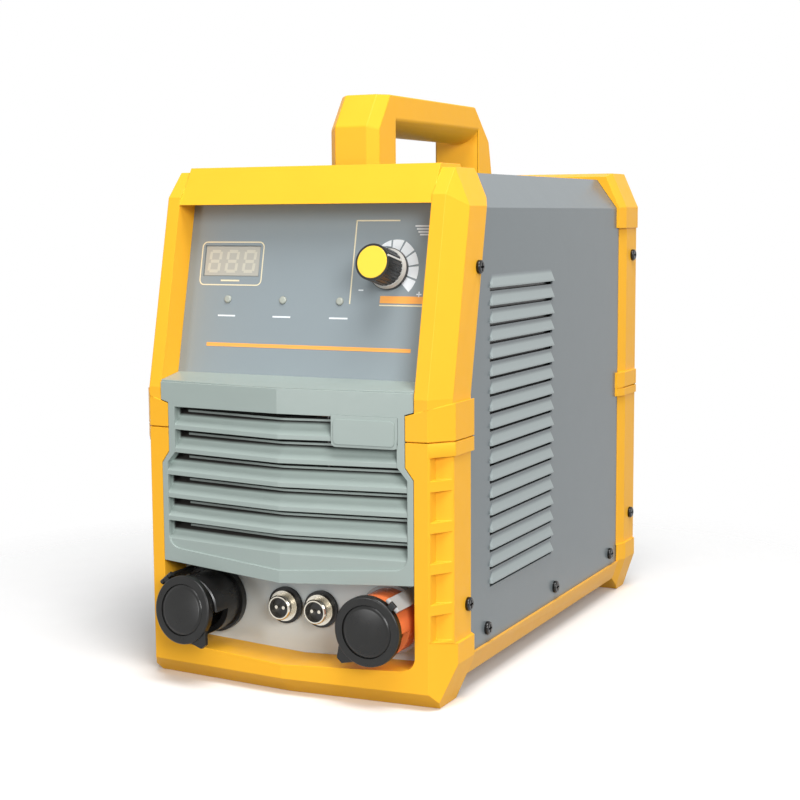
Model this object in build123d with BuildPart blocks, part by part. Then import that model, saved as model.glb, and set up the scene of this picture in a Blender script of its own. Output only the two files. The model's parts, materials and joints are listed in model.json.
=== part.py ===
"""Portable capacitor-discharge stud welder: a folded sheet cover on a base tray, held between two
moulded bumper frames, with a leaning control panel, a keeled louvre grille and a row of sockets.

Millimetres. x runs across, y from the front (negative) to the back, z up from the floor.
The origin is on the floor, in the middle of the overall length and width.
"""

import os
from math import atan2, cos, hypot, radians, sin, tan

from build123d import *

os.makedirs("parts", exist_ok=True)

# Overall size
body_width = 218.0
body_height = 330.0
body_depth = 374.0
half = body_width / 2

# Frames (front and rear bumpers)
wall = 3.0
keel = 7.0  # the lower front is a shallow V in plan, this far forward in the middle
facet_low = half - 10.0  # outer edge of the front facet below the seam
facet_up = half - 10.0  # and above the seam
taper_low = 16.0  # depth of the tapered corner below the seam
taper_up = 14.5
side_end = 41.0  # flat side of the front frame ends here, then a lip slopes to the cover
lip_end = 45.5
seam_z = 164.4
lean_z = seam_z + 25.6  # above this height the front leans back
lean = radians(12.5)
corner_z = body_height - 26.0  # top corners are cut off from here up
top_half = half - 11.6
band_z = body_height - 19.0  # the stiles bend further back from here up
band_top_z = body_height - 2.7
band_back = 41.5  # depth of the top edge of the stiles
rail_back = 40.0  # depth of the top edge of the rail over the window
top_lip = 72.0  # rear edge of the front frame on top of the cover
toe = 11.0  # chamfer along the bottom front edge
heel = 35.0  # rear edge of the front foot
foot_half = half - 9.0
foot_top_z = 27.0
foot_raise_z = 40.0  # top of the raised part of the foot, at the side
foot_raise_slope = 3.0  # it is this much higher at the front facet
foot_taper = 18.0
rail_floor = 3.0
rail_roof_z = 13.0
shelf_z = 16.0  # ledge that the connector panel and the rear panel stand on

# Windows in the front frame
window_half = half - 19.0
window_top_z = body_height - 24.0
sill_mid_z = 20.0
sill_side_z = 24.5
sill_radius = 9.0
notch_half = window_half - 5.5  # the frame juts in beside the seam
notch_low_z = seam_z - 15.4
notch_high_z = seam_z + 15.6
notch_slope = 7.5
socket_setback = 24.0  # connector panel behind the front plane
panel_setback = 18.5  # control panel behind the leaning front plane

# Raised joint of the two frame halves
joint_half = half + 1.5
joint_low_z = seam_z - 9.0
joint_slope = 0.29  # its top edge rises towards the side
joint_taper = 15.0
joint_end = 43.0
seam_groove = 0.8

# Shallow grip pockets on the lower tapered corners
pocket_count = 5
pocket_pitch = 25.1
pocket_height = 18.4
pocket_top_z = seam_z - 4.6
pocket_wall = 8.0
pocket_skin = 6.5  # thickness of the tapered wall that the pockets are cut in
pocket_start = 0.085  # shares of the tapered face
pocket_end = 0.93

# Rear frame
rear_lip = body_depth - 41.0
rear_bevel = 6.0
lip_bevel = 2.6
lip_slope = 11.0  # length of the sloping lip in front of the flat side
rear_heel = body_depth - 24.0
rear_window_half = half - 17.0
rear_window_low_z = 24.0
rear_panel_depth = body_depth - 12.0
rear_joint_front = rear_lip - 6.0
rear_joint_back = body_depth - 7.0
rear_joint_ranges = (  # front edge, and heights
    (rear_lip, 0.0, foot_raise_z),
    (rear_joint_front, seam_z - 6.4, seam_z + 12.1),
    (rear_joint_front, corner_z - 16.0, body_height),
)

# Cover
cover_half = half - 3.0
cover_low_z = foot_top_z - 0.5
cover_top_z = body_height - 5.0
fold_z = body_height - 27.0
cover_top_half = half - 19.0
sheet = 1.2
cover_front = 30.0
cover_back = rear_panel_depth - 0.1
louvre_count = 18
louvre_pitch = 11.14
louvre_low_z = 63.8
louvre_start = 77.1
louvre_length = 112.5
louvre_height = 8.2
louvre_rise = 1.7
louvre_end_slope = 0.8
louvre_lip = 1.0
louvre_corner = 4.5  # upper corners of a louvre are cut off
louvre_slit = 2.2  # gap in the sheet under a louvre's lip
louvre_skin = 0.7  # thickness of the drawn sheet

# Base tray
tray_low_z = 12.6
tray_low_half = half - 5.6
tray_top_half = half - 1.0
tray_floor = 3.0
tray_ledge = 3.7
tab_height = 27.0
tab_width = 16.0
tab_thickness = 2.0

# Handle
handle_half = 18.0
handle_front = top_lip + 21.7
handle_back = body_depth - 76.4
handle_top_z = body_height + 48.5
handle_shoulder_z = handle_top_z - 21.5
handle_top_front = handle_front + 15.3
handle_top_back = handle_back - 30.6
handle_rear_shoulder = handle_back - 7.6
grip_front = handle_front + 31.3
grip_back = handle_back - 32.6
grip_edge_z = handle_top_z - 15.5
grip_low_z = handle_top_z - 26.5
handle_chamfer = 6.3

# Louvre grille
grille_gap = 0.3
grille_thickness = 3.0
grille_top_z = lean_z + 3.7
grille_low_z = 77.4
grille_dip = 5.5
grille_window_top_z = seam_z + 13.6
grille_border = 5.0
grille_window_low_z = 86.5
grille_window_dip = 6.5
grille_radius = 9.0
slat_count = 5
slat_top_low_z = seam_z - 0.9  # lower edge of the top slat at the sides
slat_pitch = (slat_top_low_z - grille_window_low_z - 2.5) / slat_count
slat_lip = 3.0
slat_depth = 11.4
slat_rise = slat_pitch - 1.6
slat_setback = 0.4
slat_thickness = 1.9
slat_sag = 1.3  # slats dip this much at the keel
apron_setback = 1.2
pad_right = notch_half - 4.5
pad_left = pad_right - 43.5
pad_low_z = seam_z - 4.9
pad_radius = 3.0
pad_proud = 0.6
ledge_rise = 4.8
shelf_thickness = 2.4
seat_gap = 0.05

# Control panel
panel_thickness = 2.5
panel_half = window_half + 7.0
panel_high = (window_top_z - lean_z) / cos(lean) + 4.2
display_x = 32.5 - window_half
display_z = window_top_z - 36.0
display_width = 41.4
display_height = 19.6
display_depth = 8.0
display_sink = 0.5
display_gap = 0.25
display_edge = 0.3
lamp_z = window_top_z - 60.5
lamp_radius = 2.5
lamp_hole = 2.65
lamp_proud = 1.2
lamp_round = 1.1
lamp_flange = 0.4
knob_x = window_half - 32.7
knob_z = window_top_z - 40.5
board_left = 4.0 - window_half
board_right = knob_x - 24.3
lamp_x = (board_left + 28.5, (board_left + board_right) / 2 + 10.0, board_right - 8.5)
board_low_z = lean_z + 22.0
board_high_z = window_top_z - 10.0
board_thickness = 1.6
post_radius = 3.0
post_inset = 6.0

# Knob and potentiometer
knob_radius = 11.3
knob_top = 24.5  # heights above the panel
knob_foot = 1.0
skirt_radius = 13.1
skirt_top = 3.0
collar_low_radius = 12.7
collar_high_radius = 11.8
collar_bore = 10.6
collar_top = 6.0
pointer_angle = 22.5
pointer_root = 10.8
pointer_width = 1.3
pointer_proud = 0.25
knob_cap_radius = 9.9
knob_cap_height = 1.3
knob_cap_sink = 0.8
knob_cap_round = 0.4
knob_hollow = 7.5
knob_hollow_top = 9.5
flute_count = 24
flute_radius = 0.7
bushing_radius = 3.5
bushing_height = 7.0
shaft_radius = 3.0
shaft_height = 18.0
running_gap = 0.05
pot_radius = 8.5
pot_depth = 9.5
pot_end = 1.5
nut_width = 10.0
nut_height = 2.2
assembly_gap = 0.1

# Output sockets with hinged dust caps
socket_x = window_half - 25.3
socket_z = 50.0
barrel_radius = 20.0
barrel_bore = 16.2
barrel_front = -10.4
barrel_floor = 15.0
socket_edge = 0.8
contact_radius = 10.5
contact_bore = 6.6
contact_front = -3.0
contact_stud = 4.0
neck_radius = 7.0
neck_end = 33.0
contact_floor = 2.0
stud_end = 46.0
slot_width = 17.0
slot_length = 14.0
slot_angle = -28.0
cap_radius = 21.8
cap_disc = 4.4
cap_gap = 0.3  # between the closed cap and the barrel
plug_radius = 14.0
plug_wall = 1.4
plug_depth = 2.6
cap_dish = 0.8
cap_dish_radius = 16.5
cap_round = 1.2
cap_tab = 6.0
cap_tab_width = 11.0
cap_tab_thickness = 2.4
cap_tab_root = 4.0  # the tab starts this far inside the rim
cap_tab_flare = 7.0
cap_tab_angle = 56.0
cap_tab_inset = 0.6
strap_width = 10.0
strap_thickness = 1.6
collar_radius = 22.0
collar_front = 18.0
collar_back = 23.0
hinge_radius = 24.2
knuckle_radius = 1.6
knuckle_width = 4.0
knuckle_gap = 0.4
black_strap_angle = 130.0
red_strap_angle = 46.0
black_cap_ajar = 9.0
socket_nut_width = 19.0
socket_nut_height = 6.0
connector_sheet = 1.5
connector_high_z = grille_low_z + 40.6
connector_half = window_half + 6.5

# Two-pin sockets for the gun leads
pin_socket_x = 13.0
shell_radius = 8.0
shell_bore = 6.6
shell_front = 13.5
shell_flange_radius = 9.9
shell_flange = 2.2
shell_rear = 36.0
shell_edge = 0.6
gasket_radius = 11.9
gasket_height = 2.4
insert_front = 18.5
pin_radius = 1.1
pin_front = 15.0
pin_offset = 2.6
shell_nut_width = 22.0
shell_nut_height = 3.5

# Screws
screw_radius = 2.0
screw_hole = 2.2
screw_length = 9.0
screw_head_radius = 4.3
screw_head_height = 2.6
screw_cross = 1.2
front_screw_high = (53.0, fold_z - 36.0)  # depth behind the front plane, and height
front_screw_low = (36.0, 60.5)
rear_screw_high = (body_depth - 16.5, fold_z - 36.0)
rear_screw_low = (body_depth - 16.5, 62.0)
cover_screw_depths = (73.0, body_depth / 2 + 9.0, body_depth - 57.0)
cover_screw_z = 36.0
handle_screw_depths = (
    handle_front + 9.3,
    handle_front + 23.3,
    handle_back - 23.6,
    handle_back - 9.6,
)
handle_screw_length = 14.0

# Inside: storage capacitors and bus bars
can_radius = 38.0
can_height = 145.0
can_pitch = 81.0
terminal_radius = 5.0
terminal_height = 6.0
terminal_offset = 16.0
bus_thickness = 3.0
bus_width = 18.0
bracket_z = 90.0
bracket_sheet = 2.0
bracket_flange = 10.0
bracket_half = can_pitch / 2 + can_radius + bracket_flange
can_depth = stud_end + 5.5 + bracket_half  # middle of the bank
can_gap = 0.3

# Inside: transformer, heat sink and fan
fan_size = 119.0
fan_depth = 25.4
room_front = can_depth + bracket_half + 0.5  # room between the capacitors and the fan
room_back = rear_panel_depth - fan_depth - 15.6
room_depth = (room_front + room_back) / 2
core_width = half - 19.0
core_x = -(core_width / 2 + 5.0)
core_height = 76.0
core_stack = (room_back - room_front) * 0.43
core_leg = 15.0
coil_overhang = (room_back - room_front) * 0.14
coil_gap = 0.3
sink_width = half - 25.0
sink_x = sink_width / 2 + 8.0
sink_length = room_back - room_front
sink_base = 8.0
fin_height = 30.0
fin_count = 9
fin_thickness = 2.2
module_width = 34.0
module_length = sink_length - 12.0
module_height = 30.0
module_terminals = 3
fan_z = body_height - 134.0
fan_bore = 57.5
fan_hub = 20.0
fan_blades = 9
blade_tip_gap = 2.0
fan_shaft = 2.0
strut_width = 6.0
strut_depth = 4.0
bearing_radius = 6.0
bearing_length = 10.0
bearing_end = 1.5
blade_chord = 36.0
blade_thickness = 1.8
blade_pitch = 58.0  # from the axis
guard_wire = 1.6
guard_rings = (14.0, 26.0, 38.0, 50.0)
guard_eye = screw_head_radius + 0.4
fan_hole_pitch = 105.0
fan_screw_length = 26.0

# Rear fittings
switch_x = -62.0
switch_z = 92.0
switch_width = 22.0
switch_height = 30.0
switch_body_depth = 26.0
switch_bezel = 2.0
switch_rim = 3.0
switch_wall = 2.0
switch_cavity = 13.0
rocker_gap = 0.4
rocker_sink = 5.0
rocker_tilt = 9.0
rocker_pivot = 1.5
rocker_waist = 0.2
rocker_cheek = 1.6
gland_x = 58.0
gland_z = 84.0
gland_radius = 10.0
gland_bore = 5.5
gland_nut_width = 24.0
gland_thread = 8.0
gland_hex = 5.0
gland_dome = 5.0
gland_tail = 14.0
earth_x = 0.0
earth_z = 62.0
earth_radius = 3.0
earth_shoulder = 2.5
earth_length = 7.0
earth_tail = 12.0

# Values worked out from the sizes above
hinge_depth = barrel_front - cap_gap - knuckle_radius
ajar = radians(black_cap_ajar)
cap_reach = (
    -hinge_depth + (cap_disc - knuckle_radius) * cos(ajar) + (hinge_radius + cap_radius) * sin(ajar)
)
front = -(body_depth - cap_reach) / 2
back = front + body_depth
lean_dir = (0, sin(lean), cos(lean))
panel_plane = Plane(
    origin=(0, front + panel_setback, lean_z), x_dir=(1, 0, 0), z_dir=(0, -cos(lean), sin(lean))
)
tray_top = tray_low_z + tray_floor
pin_socket_z = socket_z


def across(depth):
    """Plane across the machine, seen from the front, at a depth behind the front plane."""
    return Plane.XZ.offset(-(front + depth))


def end_on(x, depth, z):
    """Plane facing the front with its origin on an axis that runs from front to back."""
    return Plane(origin=(x, front + depth, z), x_dir=(1, 0, 0), z_dir=(0, -1, 0))


def from_side(x, depth, z, side):
    """Plane facing out of one side, with its origin at a point on that side."""
    return Plane(origin=(x * side, front + depth, z), x_dir=(0, side, 0), z_dir=(side, 0, 0))


def both_sides(*points):
    """Outline points of the right side, followed by their mirror images on the left."""
    return [*points, *[(-x, y) for x, y in reversed(points) if x > 0]]


def lean_shift(z):
    """How far the leaning front has moved back at a height."""
    return (z - lean_z) * tan(lean)


def up_panel(z):
    """Distance up the control panel at a height."""
    return (z - lean_z) / cos(lean)


def keel_front(x):
    """y of the keeled lower front at a distance from the middle."""
    return front - keel * (1 - abs(x) / facet_low)


def keel_strip(reach, setback, thickness):
    """Plan of a strip that follows the keel, set back from its front."""
    return both_sides(
        (0, front - keel + setback),
        (reach, keel_front(reach) + setback),
        (reach, keel_front(reach) + setback + thickness),
        (0, front - keel + setback + thickness),
    )


def write(part, name):
    """Label a finished piece and write its file."""
    part.label = name
    export_step(part, f"parts/{name}.step")


# Front frame: outer form
def frame_plan(facet, taper):
    """Plan of the stiles: front facet, tapered corner, flat side and lip."""
    return both_sides(
        (facet, front),
        (half, front + taper),
        (half, front + side_end),
        (cover_half, front + lip_end),
    )


def cavity_plan(facet, taper, setback, skin):
    """Plan of the hollow behind the front wall and the window's side walls; skin is the tapered wall."""
    run = half - facet
    shift = skin * hypot(run, taper) / taper
    return both_sides(
        (window_half + wall, front + setback),
        (window_half + wall, front + wall),
        (facet + run * wall / taper - shift, front + wall),
        (cover_half, front + (cover_half - facet + shift) * taper / run),
        (cover_half, front + body_depth / 2),
    )


def frame_outline():
    """Outline of both frames, seen from the front."""
    return both_sides(
        (foot_half, 0), (half, foot_top_z), (half, corner_z), (top_half, body_height)
    )


def raised_plan(inner, taper):
    """Plan of a raised part of the right stile, out to the joint's width."""
    return [
        (inner, keel_front(inner)),
        (facet_low, front),
        (joint_half, front + taper),
        (joint_half, front + joint_end),
        (cover_half, front + lip_end),
        (inner, front + lip_end),
    ]


def cover_outline(low_z):
    """Outside of the cover, seen from the front, from a height upwards."""
    return both_sides((cover_half, low_z), (cover_half, fold_z), (cover_top_half, cover_top_z))


with BuildPart() as front_form:
    with BuildSketch():
        Polygon(*[(0, front - keel), *frame_plan(facet_low, taper_low)])
    extrude(amount=seam_z)
    with BuildSketch(Plane.XY.offset(seam_z)):
        Polygon(*frame_plan(facet_up, taper_up))
    extrude(amount=lean_z - seam_z)
    with BuildSketch(Plane.XY.offset(lean_z)):
        Polygon(*frame_plan(facet_up, taper_up))
    extrude(amount=(body_height - lean_z) / cos(lean), dir=lean_dir)
    # rear edge of the top, on the cover
    with BuildSketch(Plane.YZ):
        Polygon(
            (front + lip_end + lean_shift(corner_z), corner_z),
            (front + top_lip, cover_top_z),
            (front + top_lip - wall, body_height),
            (front + 2 * top_lip, body_height),
            (front + 2 * top_lip, corner_z),
        )
    extrude(amount=half, both=True, mode=Mode.SUBTRACT)
    # the rail over the window slopes back more than the stiles
    with BuildSketch(Plane.YZ):
        Polygon(
            (front + lean_shift(window_top_z), window_top_z),
            (front + rail_back, body_height),
            (front - keel, body_height),
            (front - keel, window_top_z),
        )
    extrude(amount=window_half, both=True, mode=Mode.SUBTRACT)
    # beside the rail the stiles bend back and end a little lower
    for side in (1, -1):
        with BuildSketch(Plane.YZ.offset(side * window_half)):
            Polygon(
                (front + lean_shift(band_z), band_z),
                (front + band_back, band_top_z),
                (front + 2 * top_lip, band_top_z),
                (front + 2 * top_lip, body_height),
                (front - keel, body_height),
                (front - keel, band_z),
            )
        extrude(amount=side * (half - window_half), mode=Mode.SUBTRACT)
    with BuildSketch(across(-body_depth / 2)):
        Polygon(*frame_outline())
    extrude(amount=-body_depth, mode=Mode.INTERSECT)
    # a three-cornered facet leads from the bend to the cut-off corner
    corner_share = (band_top_z - corner_z) / (body_height - corner_z)
    bend = Vector(facet_up, front + lean_shift(band_z), band_z)
    to_side = Vector(half, front + lean_shift(corner_z) + taper_up, corner_z) - bend
    to_top = Vector(half - (half - top_half) * corner_share, front + band_back, band_top_z) - bend
    facet_normal = to_side.cross(to_top)
    for side in (1, -1):
        facet_face = Plane(
            origin=(side * bend.X, bend.Y, bend.Z),
            z_dir=(side * facet_normal.X, facet_normal.Y, facet_normal.Z),
        )
        split(bisect_by=facet_face, keep=Keep.BOTTOM)

# Raised joint of the two halves, right side
with BuildPart() as joint_block:
    with BuildSketch(Plane.XY.offset(notch_low_z - notch_slope)):
        Polygon(*raised_plan(notch_half, joint_taper))
    extrude(amount=lean_z - notch_low_z + notch_slope)
    with BuildSketch(across(-keel)):
        Polygon(
            (notch_half, notch_high_z),
            (joint_half, notch_high_z + joint_slope * (joint_half - notch_half)),
            (joint_half, joint_low_z),
            (facet_low, joint_low_z),
            (facet_low, notch_low_z - notch_slope),
            (window_half, notch_low_z - notch_slope),
            (notch_half, notch_low_z),
        )
    extrude(amount=-(keel + lip_end), mode=Mode.INTERSECT)

# Raised foot, right side
with BuildPart() as foot_block:
    with BuildSketch():
        Polygon(*raised_plan(window_half, foot_taper))
    extrude(amount=foot_raise_z + foot_raise_slope)
    with BuildSketch(across(-keel)):
        Polygon(
            (foot_half + joint_half - half, 0),
            (joint_half, foot_top_z),
            (joint_half, foot_raise_z),
            (facet_low, foot_raise_z + foot_raise_slope),
            (facet_low, 0),
        )
    extrude(amount=-(keel + lip_end), mode=Mode.INTERSECT)

# Hollow of the front frame, open at the back
with BuildPart() as front_cavity:
    with BuildSketch(Plane.XY.offset(cover_low_z)):
        Polygon(*cavity_plan(facet_low, taper_low, socket_setback, pocket_skin))
    extrude(amount=seam_z - cover_low_z)
    with BuildSketch(Plane.XY.offset(seam_z)):
        Polygon(*cavity_plan(facet_up, taper_up, panel_setback, wall))
    extrude(amount=lean_z - seam_z)
    with BuildSketch(Plane.XY.offset(lean_z)):
        Polygon(*cavity_plan(facet_up, taper_up, panel_setback, wall))
    extrude(amount=(window_top_z + wall - lean_z) / cos(lean), dir=lean_dir)
    rail_slope = (rail_back - lean_shift(window_top_z)) / (body_height - window_top_z)
    rail_inside = wall * hypot(1, rail_slope)
    with BuildSketch(Plane.YZ):
        Polygon(
            (front + lean_shift(window_top_z) + rail_inside + wall * rail_slope, window_top_z + wall),
            (front + rail_back + rail_inside - (body_height - cover_top_z) * rail_slope, cover_top_z),
            (back, cover_top_z),
            (back, window_top_z + wall),
        )
    extrude(amount=window_half - wall, both=True)
    with BuildSketch(Plane.YZ):
        Polygon(
            (front + lean_shift(band_z) + 3 * wall, window_top_z + wall),
            (front + band_back + 3 * wall, cover_top_z),
            (back, cover_top_z),
            (back, window_top_z + wall),
        )
    extrude(amount=cover_half, both=True)
    with BuildSketch(across(-keel)):
        Polygon(*cover_outline(cover_low_z))
    extrude(amount=-body_depth, mode=Mode.INTERSECT)
    # step behind the sill that the connector panel stands in
    with BuildSketch(across(socket_setback)):
        with Locations((0, shelf_z)):
            Rectangle(2 * (foot_half - wall), foot_top_z - shelf_z, align=(Align.CENTER, Align.MIN))
    extrude(amount=-body_depth / 2)
    # the bottom rail is hollow too
    with BuildSketch(across(toe + wall)):
        with Locations((0, rail_floor)):
            hollow_height = rail_roof_z - rail_floor
            Rectangle(2 * (foot_half - 2 * wall), hollow_height, align=(Align.CENTER, Align.MIN))
    extrude(amount=-body_depth / 2)

with BuildPart() as front_frame:
    add(front_form.part)
    for block in (joint_block.part, foot_block.part):
        add(block)
        add(block.mirror(Plane.YZ))
    add(front_cavity.part, mode=Mode.SUBTRACT)
    # lower window with the notch beside the seam and a keeled sill
    with BuildSketch(across(-3 * keel)) as lower_window:
        Polygon(
            *both_sides(
                (0, sill_mid_z),
                (window_half, sill_side_z),
                (window_half, notch_low_z - notch_slope),
                (notch_half, notch_low_z),
                (notch_half, notch_high_z),
                (window_half, notch_high_z + joint_slope * (window_half - notch_half)),
                (window_half, lean_z),
            )
        )
        fillet(lower_window.vertices().group_by(Axis.Y)[1], radius=sill_radius)
    extrude(amount=-(3 * keel + socket_setback), mode=Mode.SUBTRACT)
    with BuildSketch(Plane.XY.offset(lean_z)):
        with Locations((0, front + panel_setback)):
            Rectangle(2 * window_half, 3 * panel_setback, align=(Align.CENTER, Align.MAX))
    extrude(amount=(window_top_z - lean_z) / cos(lean), dir=lean_dir, mode=Mode.SUBTRACT)
    # bottom front edge, chamfered along the keel
    for side in (1, -1):
        with BuildSketch(Plane.YZ):
            Polygon(
                (front - keel - 1, toe + 1),
                (front - keel + toe + 1, -1),
                (front - keel - 1, -1),
            )
        extrude(
            amount=joint_half * hypot(1, keel / facet_low),
            dir=(side * facet_low, keel, 0),
            mode=Mode.SUBTRACT,
        )
    # the foot slopes up to the tray behind it
    with BuildSketch(Plane.YZ):
        Polygon(
            (front + heel, 0),
            (front + lip_end, foot_top_z),
            (front + 2 * lip_end, foot_top_z),
            (front + 2 * lip_end, 0),
        )
    extrude(amount=joint_half, both=True, mode=Mode.SUBTRACT)
    # fine groove along the seam
    for side in (1, -1):
        with BuildSketch(Plane.XY.offset(seam_z - seam_groove / 2)):
            Polygon(*[(side * x, y) for x, y in raised_plan(notch_half, joint_taper)])
            offset(amount=-seam_groove, mode=Mode.SUBTRACT)
        extrude(amount=seam_groove, mode=Mode.SUBTRACT)
    # grip pockets
    start_x, end_x = [facet_low + (half - facet_low) * share for share in (pocket_start, pocket_end)]
    start_y, end_y = [front + taper_low * share for share in (pocket_start, pocket_end)]
    for side in (1, -1):
        for index in range(pocket_count):
            top_z = pocket_top_z - index * pocket_pitch
            low_z = max(top_z - pocket_height, foot_raise_z + foot_raise_slope)
            cut_top = min(top_z, joint_low_z)
            with BuildSketch(Plane.XY.offset(low_z)):
                Polygon(
                    (side * start_x, start_y),
                    (side * start_x, start_y + pocket_wall),
                    (side * end_x, end_y),
                    (side * (end_x + wall), end_y),
                    (side * (start_x + wall), start_y),
                )
            extrude(amount=cut_top - low_z, mode=Mode.SUBTRACT)
    for side in (1, -1):
        for screw_depth, screw_z in (front_screw_high, front_screw_low):
            with BuildSketch(from_side(0, screw_depth, screw_z, side)):
                Circle(screw_hole)
            extrude(amount=joint_half, mode=Mode.SUBTRACT)

with BuildPart() as front_frame_lower:
    add(front_frame.part)
    split(bisect_by=Plane.XY.offset(seam_z), keep=Keep.BOTTOM)
write(front_frame_lower.part, "front_frame_lower")

with BuildPart() as front_frame_upper:
    add(front_frame.part)
    split(bisect_by=Plane.XY.offset(seam_z), keep=Keep.TOP)
write(front_frame_upper.part, "front_frame_upper")

# Rear frame
def raised_band(depth, low_z, high_z):
    """Raised band round the rear frame between two heights, with a sloping lip in front."""
    outgrow = joint_half - half
    with BuildPart() as band:
        with BuildSketch(across(depth)):
            Polygon(
                *both_sides(
                    (foot_half + outgrow, 0),
                    (joint_half, foot_top_z),
                    (joint_half, corner_z),
                    (top_half + outgrow, body_height),
                )
            )
            with Locations((0, low_z)):
                Rectangle(
                    2 * joint_half, high_z - low_z, align=(Align.CENTER, Align.MIN), mode=Mode.INTERSECT
                )
        extrude(amount=-(rear_joint_back - depth))
        lip_face = band.faces().sort_by(Axis.Y)[0]
        lip_edges = lip_face.edges().filter_by(
            lambda edge: abs(edge.center().X) > top_half or edge.center().Z > corner_z
        )
        chamfer(lip_edges, length=lip_bevel, length2=lip_slope, reference=lip_face)
    return band.part


with BuildPart() as rear_frame:
    with BuildSketch(across(rear_lip)):
        Polygon(*frame_outline())
    extrude(amount=-(body_depth - rear_lip))
    chamfer(rear_frame.faces().sort_by(Axis.Y)[-1].edges(), length=rear_bevel)
    lip_face = rear_frame.faces().sort_by(Axis.Y)[0]
    chamfer(lip_face.edges(), length=lip_bevel, length2=lip_slope, reference=lip_face)
    add([raised_band(*band_range) for band_range in rear_joint_ranges])
    with BuildSketch(across(rear_joint_front)):
        for side in (1, -1):
            with Locations((side * joint_half, seam_z)):
                Rectangle(2 * seam_groove, seam_groove)
    extrude(amount=-(body_depth - rear_joint_front), mode=Mode.SUBTRACT)
    with BuildSketch(across(rear_joint_front - 1)):
        Polygon(*cover_outline(cover_low_z))
        with Locations((0, shelf_z)):
            Rectangle(2 * (foot_half - wall), foot_top_z - shelf_z, align=(Align.CENTER, Align.MIN))
    extrude(amount=-(rear_panel_depth + connector_sheet - rear_joint_front + 1), mode=Mode.SUBTRACT)
    with BuildSketch(across(rear_lip)) as rear_window:
        with Locations((0, rear_window_low_z)):
            Rectangle(
                2 * rear_window_half, window_top_z - rear_window_low_z, align=(Align.CENTER, Align.MIN)
            )
        fillet(rear_window.vertices(), radius=sill_radius)
    extrude(amount=-(body_depth - rear_lip), mode=Mode.SUBTRACT)
    # the foot slopes up to the tray in front of it
    with BuildSketch(Plane.YZ):
        Polygon(
            (front + rear_lip, 0), (front + rear_heel, 0), (front + rear_lip, tray_low_z)
        )
    extrude(amount=joint_half, both=True, mode=Mode.SUBTRACT)
    for side in (1, -1):
        for screw_depth, screw_z in (rear_screw_high, rear_screw_low):
            with BuildSketch(from_side(0, screw_depth, screw_z, side)):
                Circle(screw_hole)
            extrude(amount=joint_half, mode=Mode.SUBTRACT)

with BuildPart() as rear_frame_lower:
    add(rear_frame.part)
    split(bisect_by=Plane.XY.offset(seam_z), keep=Keep.BOTTOM)
write(rear_frame_lower.part, "rear_frame_lower")

with BuildPart() as rear_frame_upper:
    add(rear_frame.part)
    split(bisect_by=Plane.XY.offset(seam_z), keep=Keep.TOP)
write(rear_frame_upper.part, "rear_frame_upper")


# Cover: folded sheet with a bank of pressed louvres on each side
louvre_middle = front + louvre_start + louvre_length / 2


def louvre_outline(length, height, corner):
    """Outline of the lowest louvre, seen from the side: its upper corners are cut off."""
    return [
        (louvre_middle - length / 2, louvre_low_z),
        (louvre_middle + length / 2, louvre_low_z),
        (louvre_middle + length / 2, louvre_low_z + height - corner),
        (louvre_middle + length / 2 - corner, louvre_low_z + height),
        (louvre_middle - length / 2 + corner, louvre_low_z + height),
        (louvre_middle - length / 2, louvre_low_z + height - corner),
    ]


def louvre_scoop(inset):
    """Lowest scoop on the right side, closed at the top and ends; the inset one is its hollow."""
    lip_length = louvre_length - 2 * louvre_end_slope - 2 * inset
    lip_height = louvre_lip - inset / 2
    with BuildPart() as scoop:
        with BuildSketch(Plane.YZ.offset(cover_half - 2 * inset)):
            Polygon(*louvre_outline(louvre_length - 2 * inset, louvre_height - inset, louvre_corner))
        with BuildSketch(Plane.YZ.offset(cover_half + louvre_rise - inset)):
            Polygon(*louvre_outline(lip_length, lip_height, lip_height / 2))
        loft(ruled=True)
    return scoop.part


def louvre_bank(piece):
    """Copies of one scoop up both sides."""
    right = [piece.moved(Location((0, 0, index * louvre_pitch))) for index in range(louvre_count)]
    return right + [copy.mirror(Plane.YZ) for copy in right]


with BuildPart() as cover:
    with BuildSketch(across(cover_front)):
        Polygon(*cover_outline(cover_low_z))
        inner_fold = sheet * tan(atan2(cover_half - cover_top_half, cover_top_z - fold_z) / 2)
        top_fold = sheet * tan(atan2(cover_top_z - fold_z, cover_half - cover_top_half) / 2)
        Polygon(
            *both_sides(
                (cover_half - sheet, cover_low_z),
                (cover_half - sheet, fold_z - inner_fold),
                (cover_top_half - top_fold, cover_top_z - sheet),
            ),
            mode=Mode.SUBTRACT,
        )
    extrude(amount=-(cover_back - cover_front))
    with BuildSketch(Plane.YZ):
        Polygon(
            (front + cover_front, lean_z),
            (front + cover_front + lean_shift(body_height), body_height),
            (front + cover_front - 1, body_height),
            (front + cover_front - 1, lean_z),
        )
    extrude(amount=half, both=True, mode=Mode.SUBTRACT)
    add(louvre_bank(louvre_scoop(0)))
    add(louvre_bank(louvre_scoop(louvre_skin)), mode=Mode.SUBTRACT)
    with BuildSketch(Plane.YZ):
        for index in range(louvre_count):
            with Locations((louvre_middle, louvre_low_z + index * louvre_pitch)):
                Rectangle(
                    louvre_length - 2 * louvre_end_slope, louvre_slit, align=(Align.CENTER, Align.MAX)
                )
    extrude(amount=half, both=True, mode=Mode.SUBTRACT)
    side_holes = [(depth, cover_screw_z) for depth in cover_screw_depths]
    side_holes += [front_screw_high, front_screw_low, rear_screw_high, rear_screw_low]
    with BuildSketch(Plane.YZ):
        with Locations(*[(front + depth, z) for depth, z in side_holes]):
            Circle(screw_hole)
    extrude(amount=half, both=True, mode=Mode.SUBTRACT)
    with BuildSketch(Plane.XY.offset(cover_top_z - 2 * sheet)):
        with Locations(*[(0, front + depth) for depth in handle_screw_depths]):
            Circle(screw_hole)
    extrude(amount=3 * sheet, mode=Mode.SUBTRACT)
write(cover.part, "cover")

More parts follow.
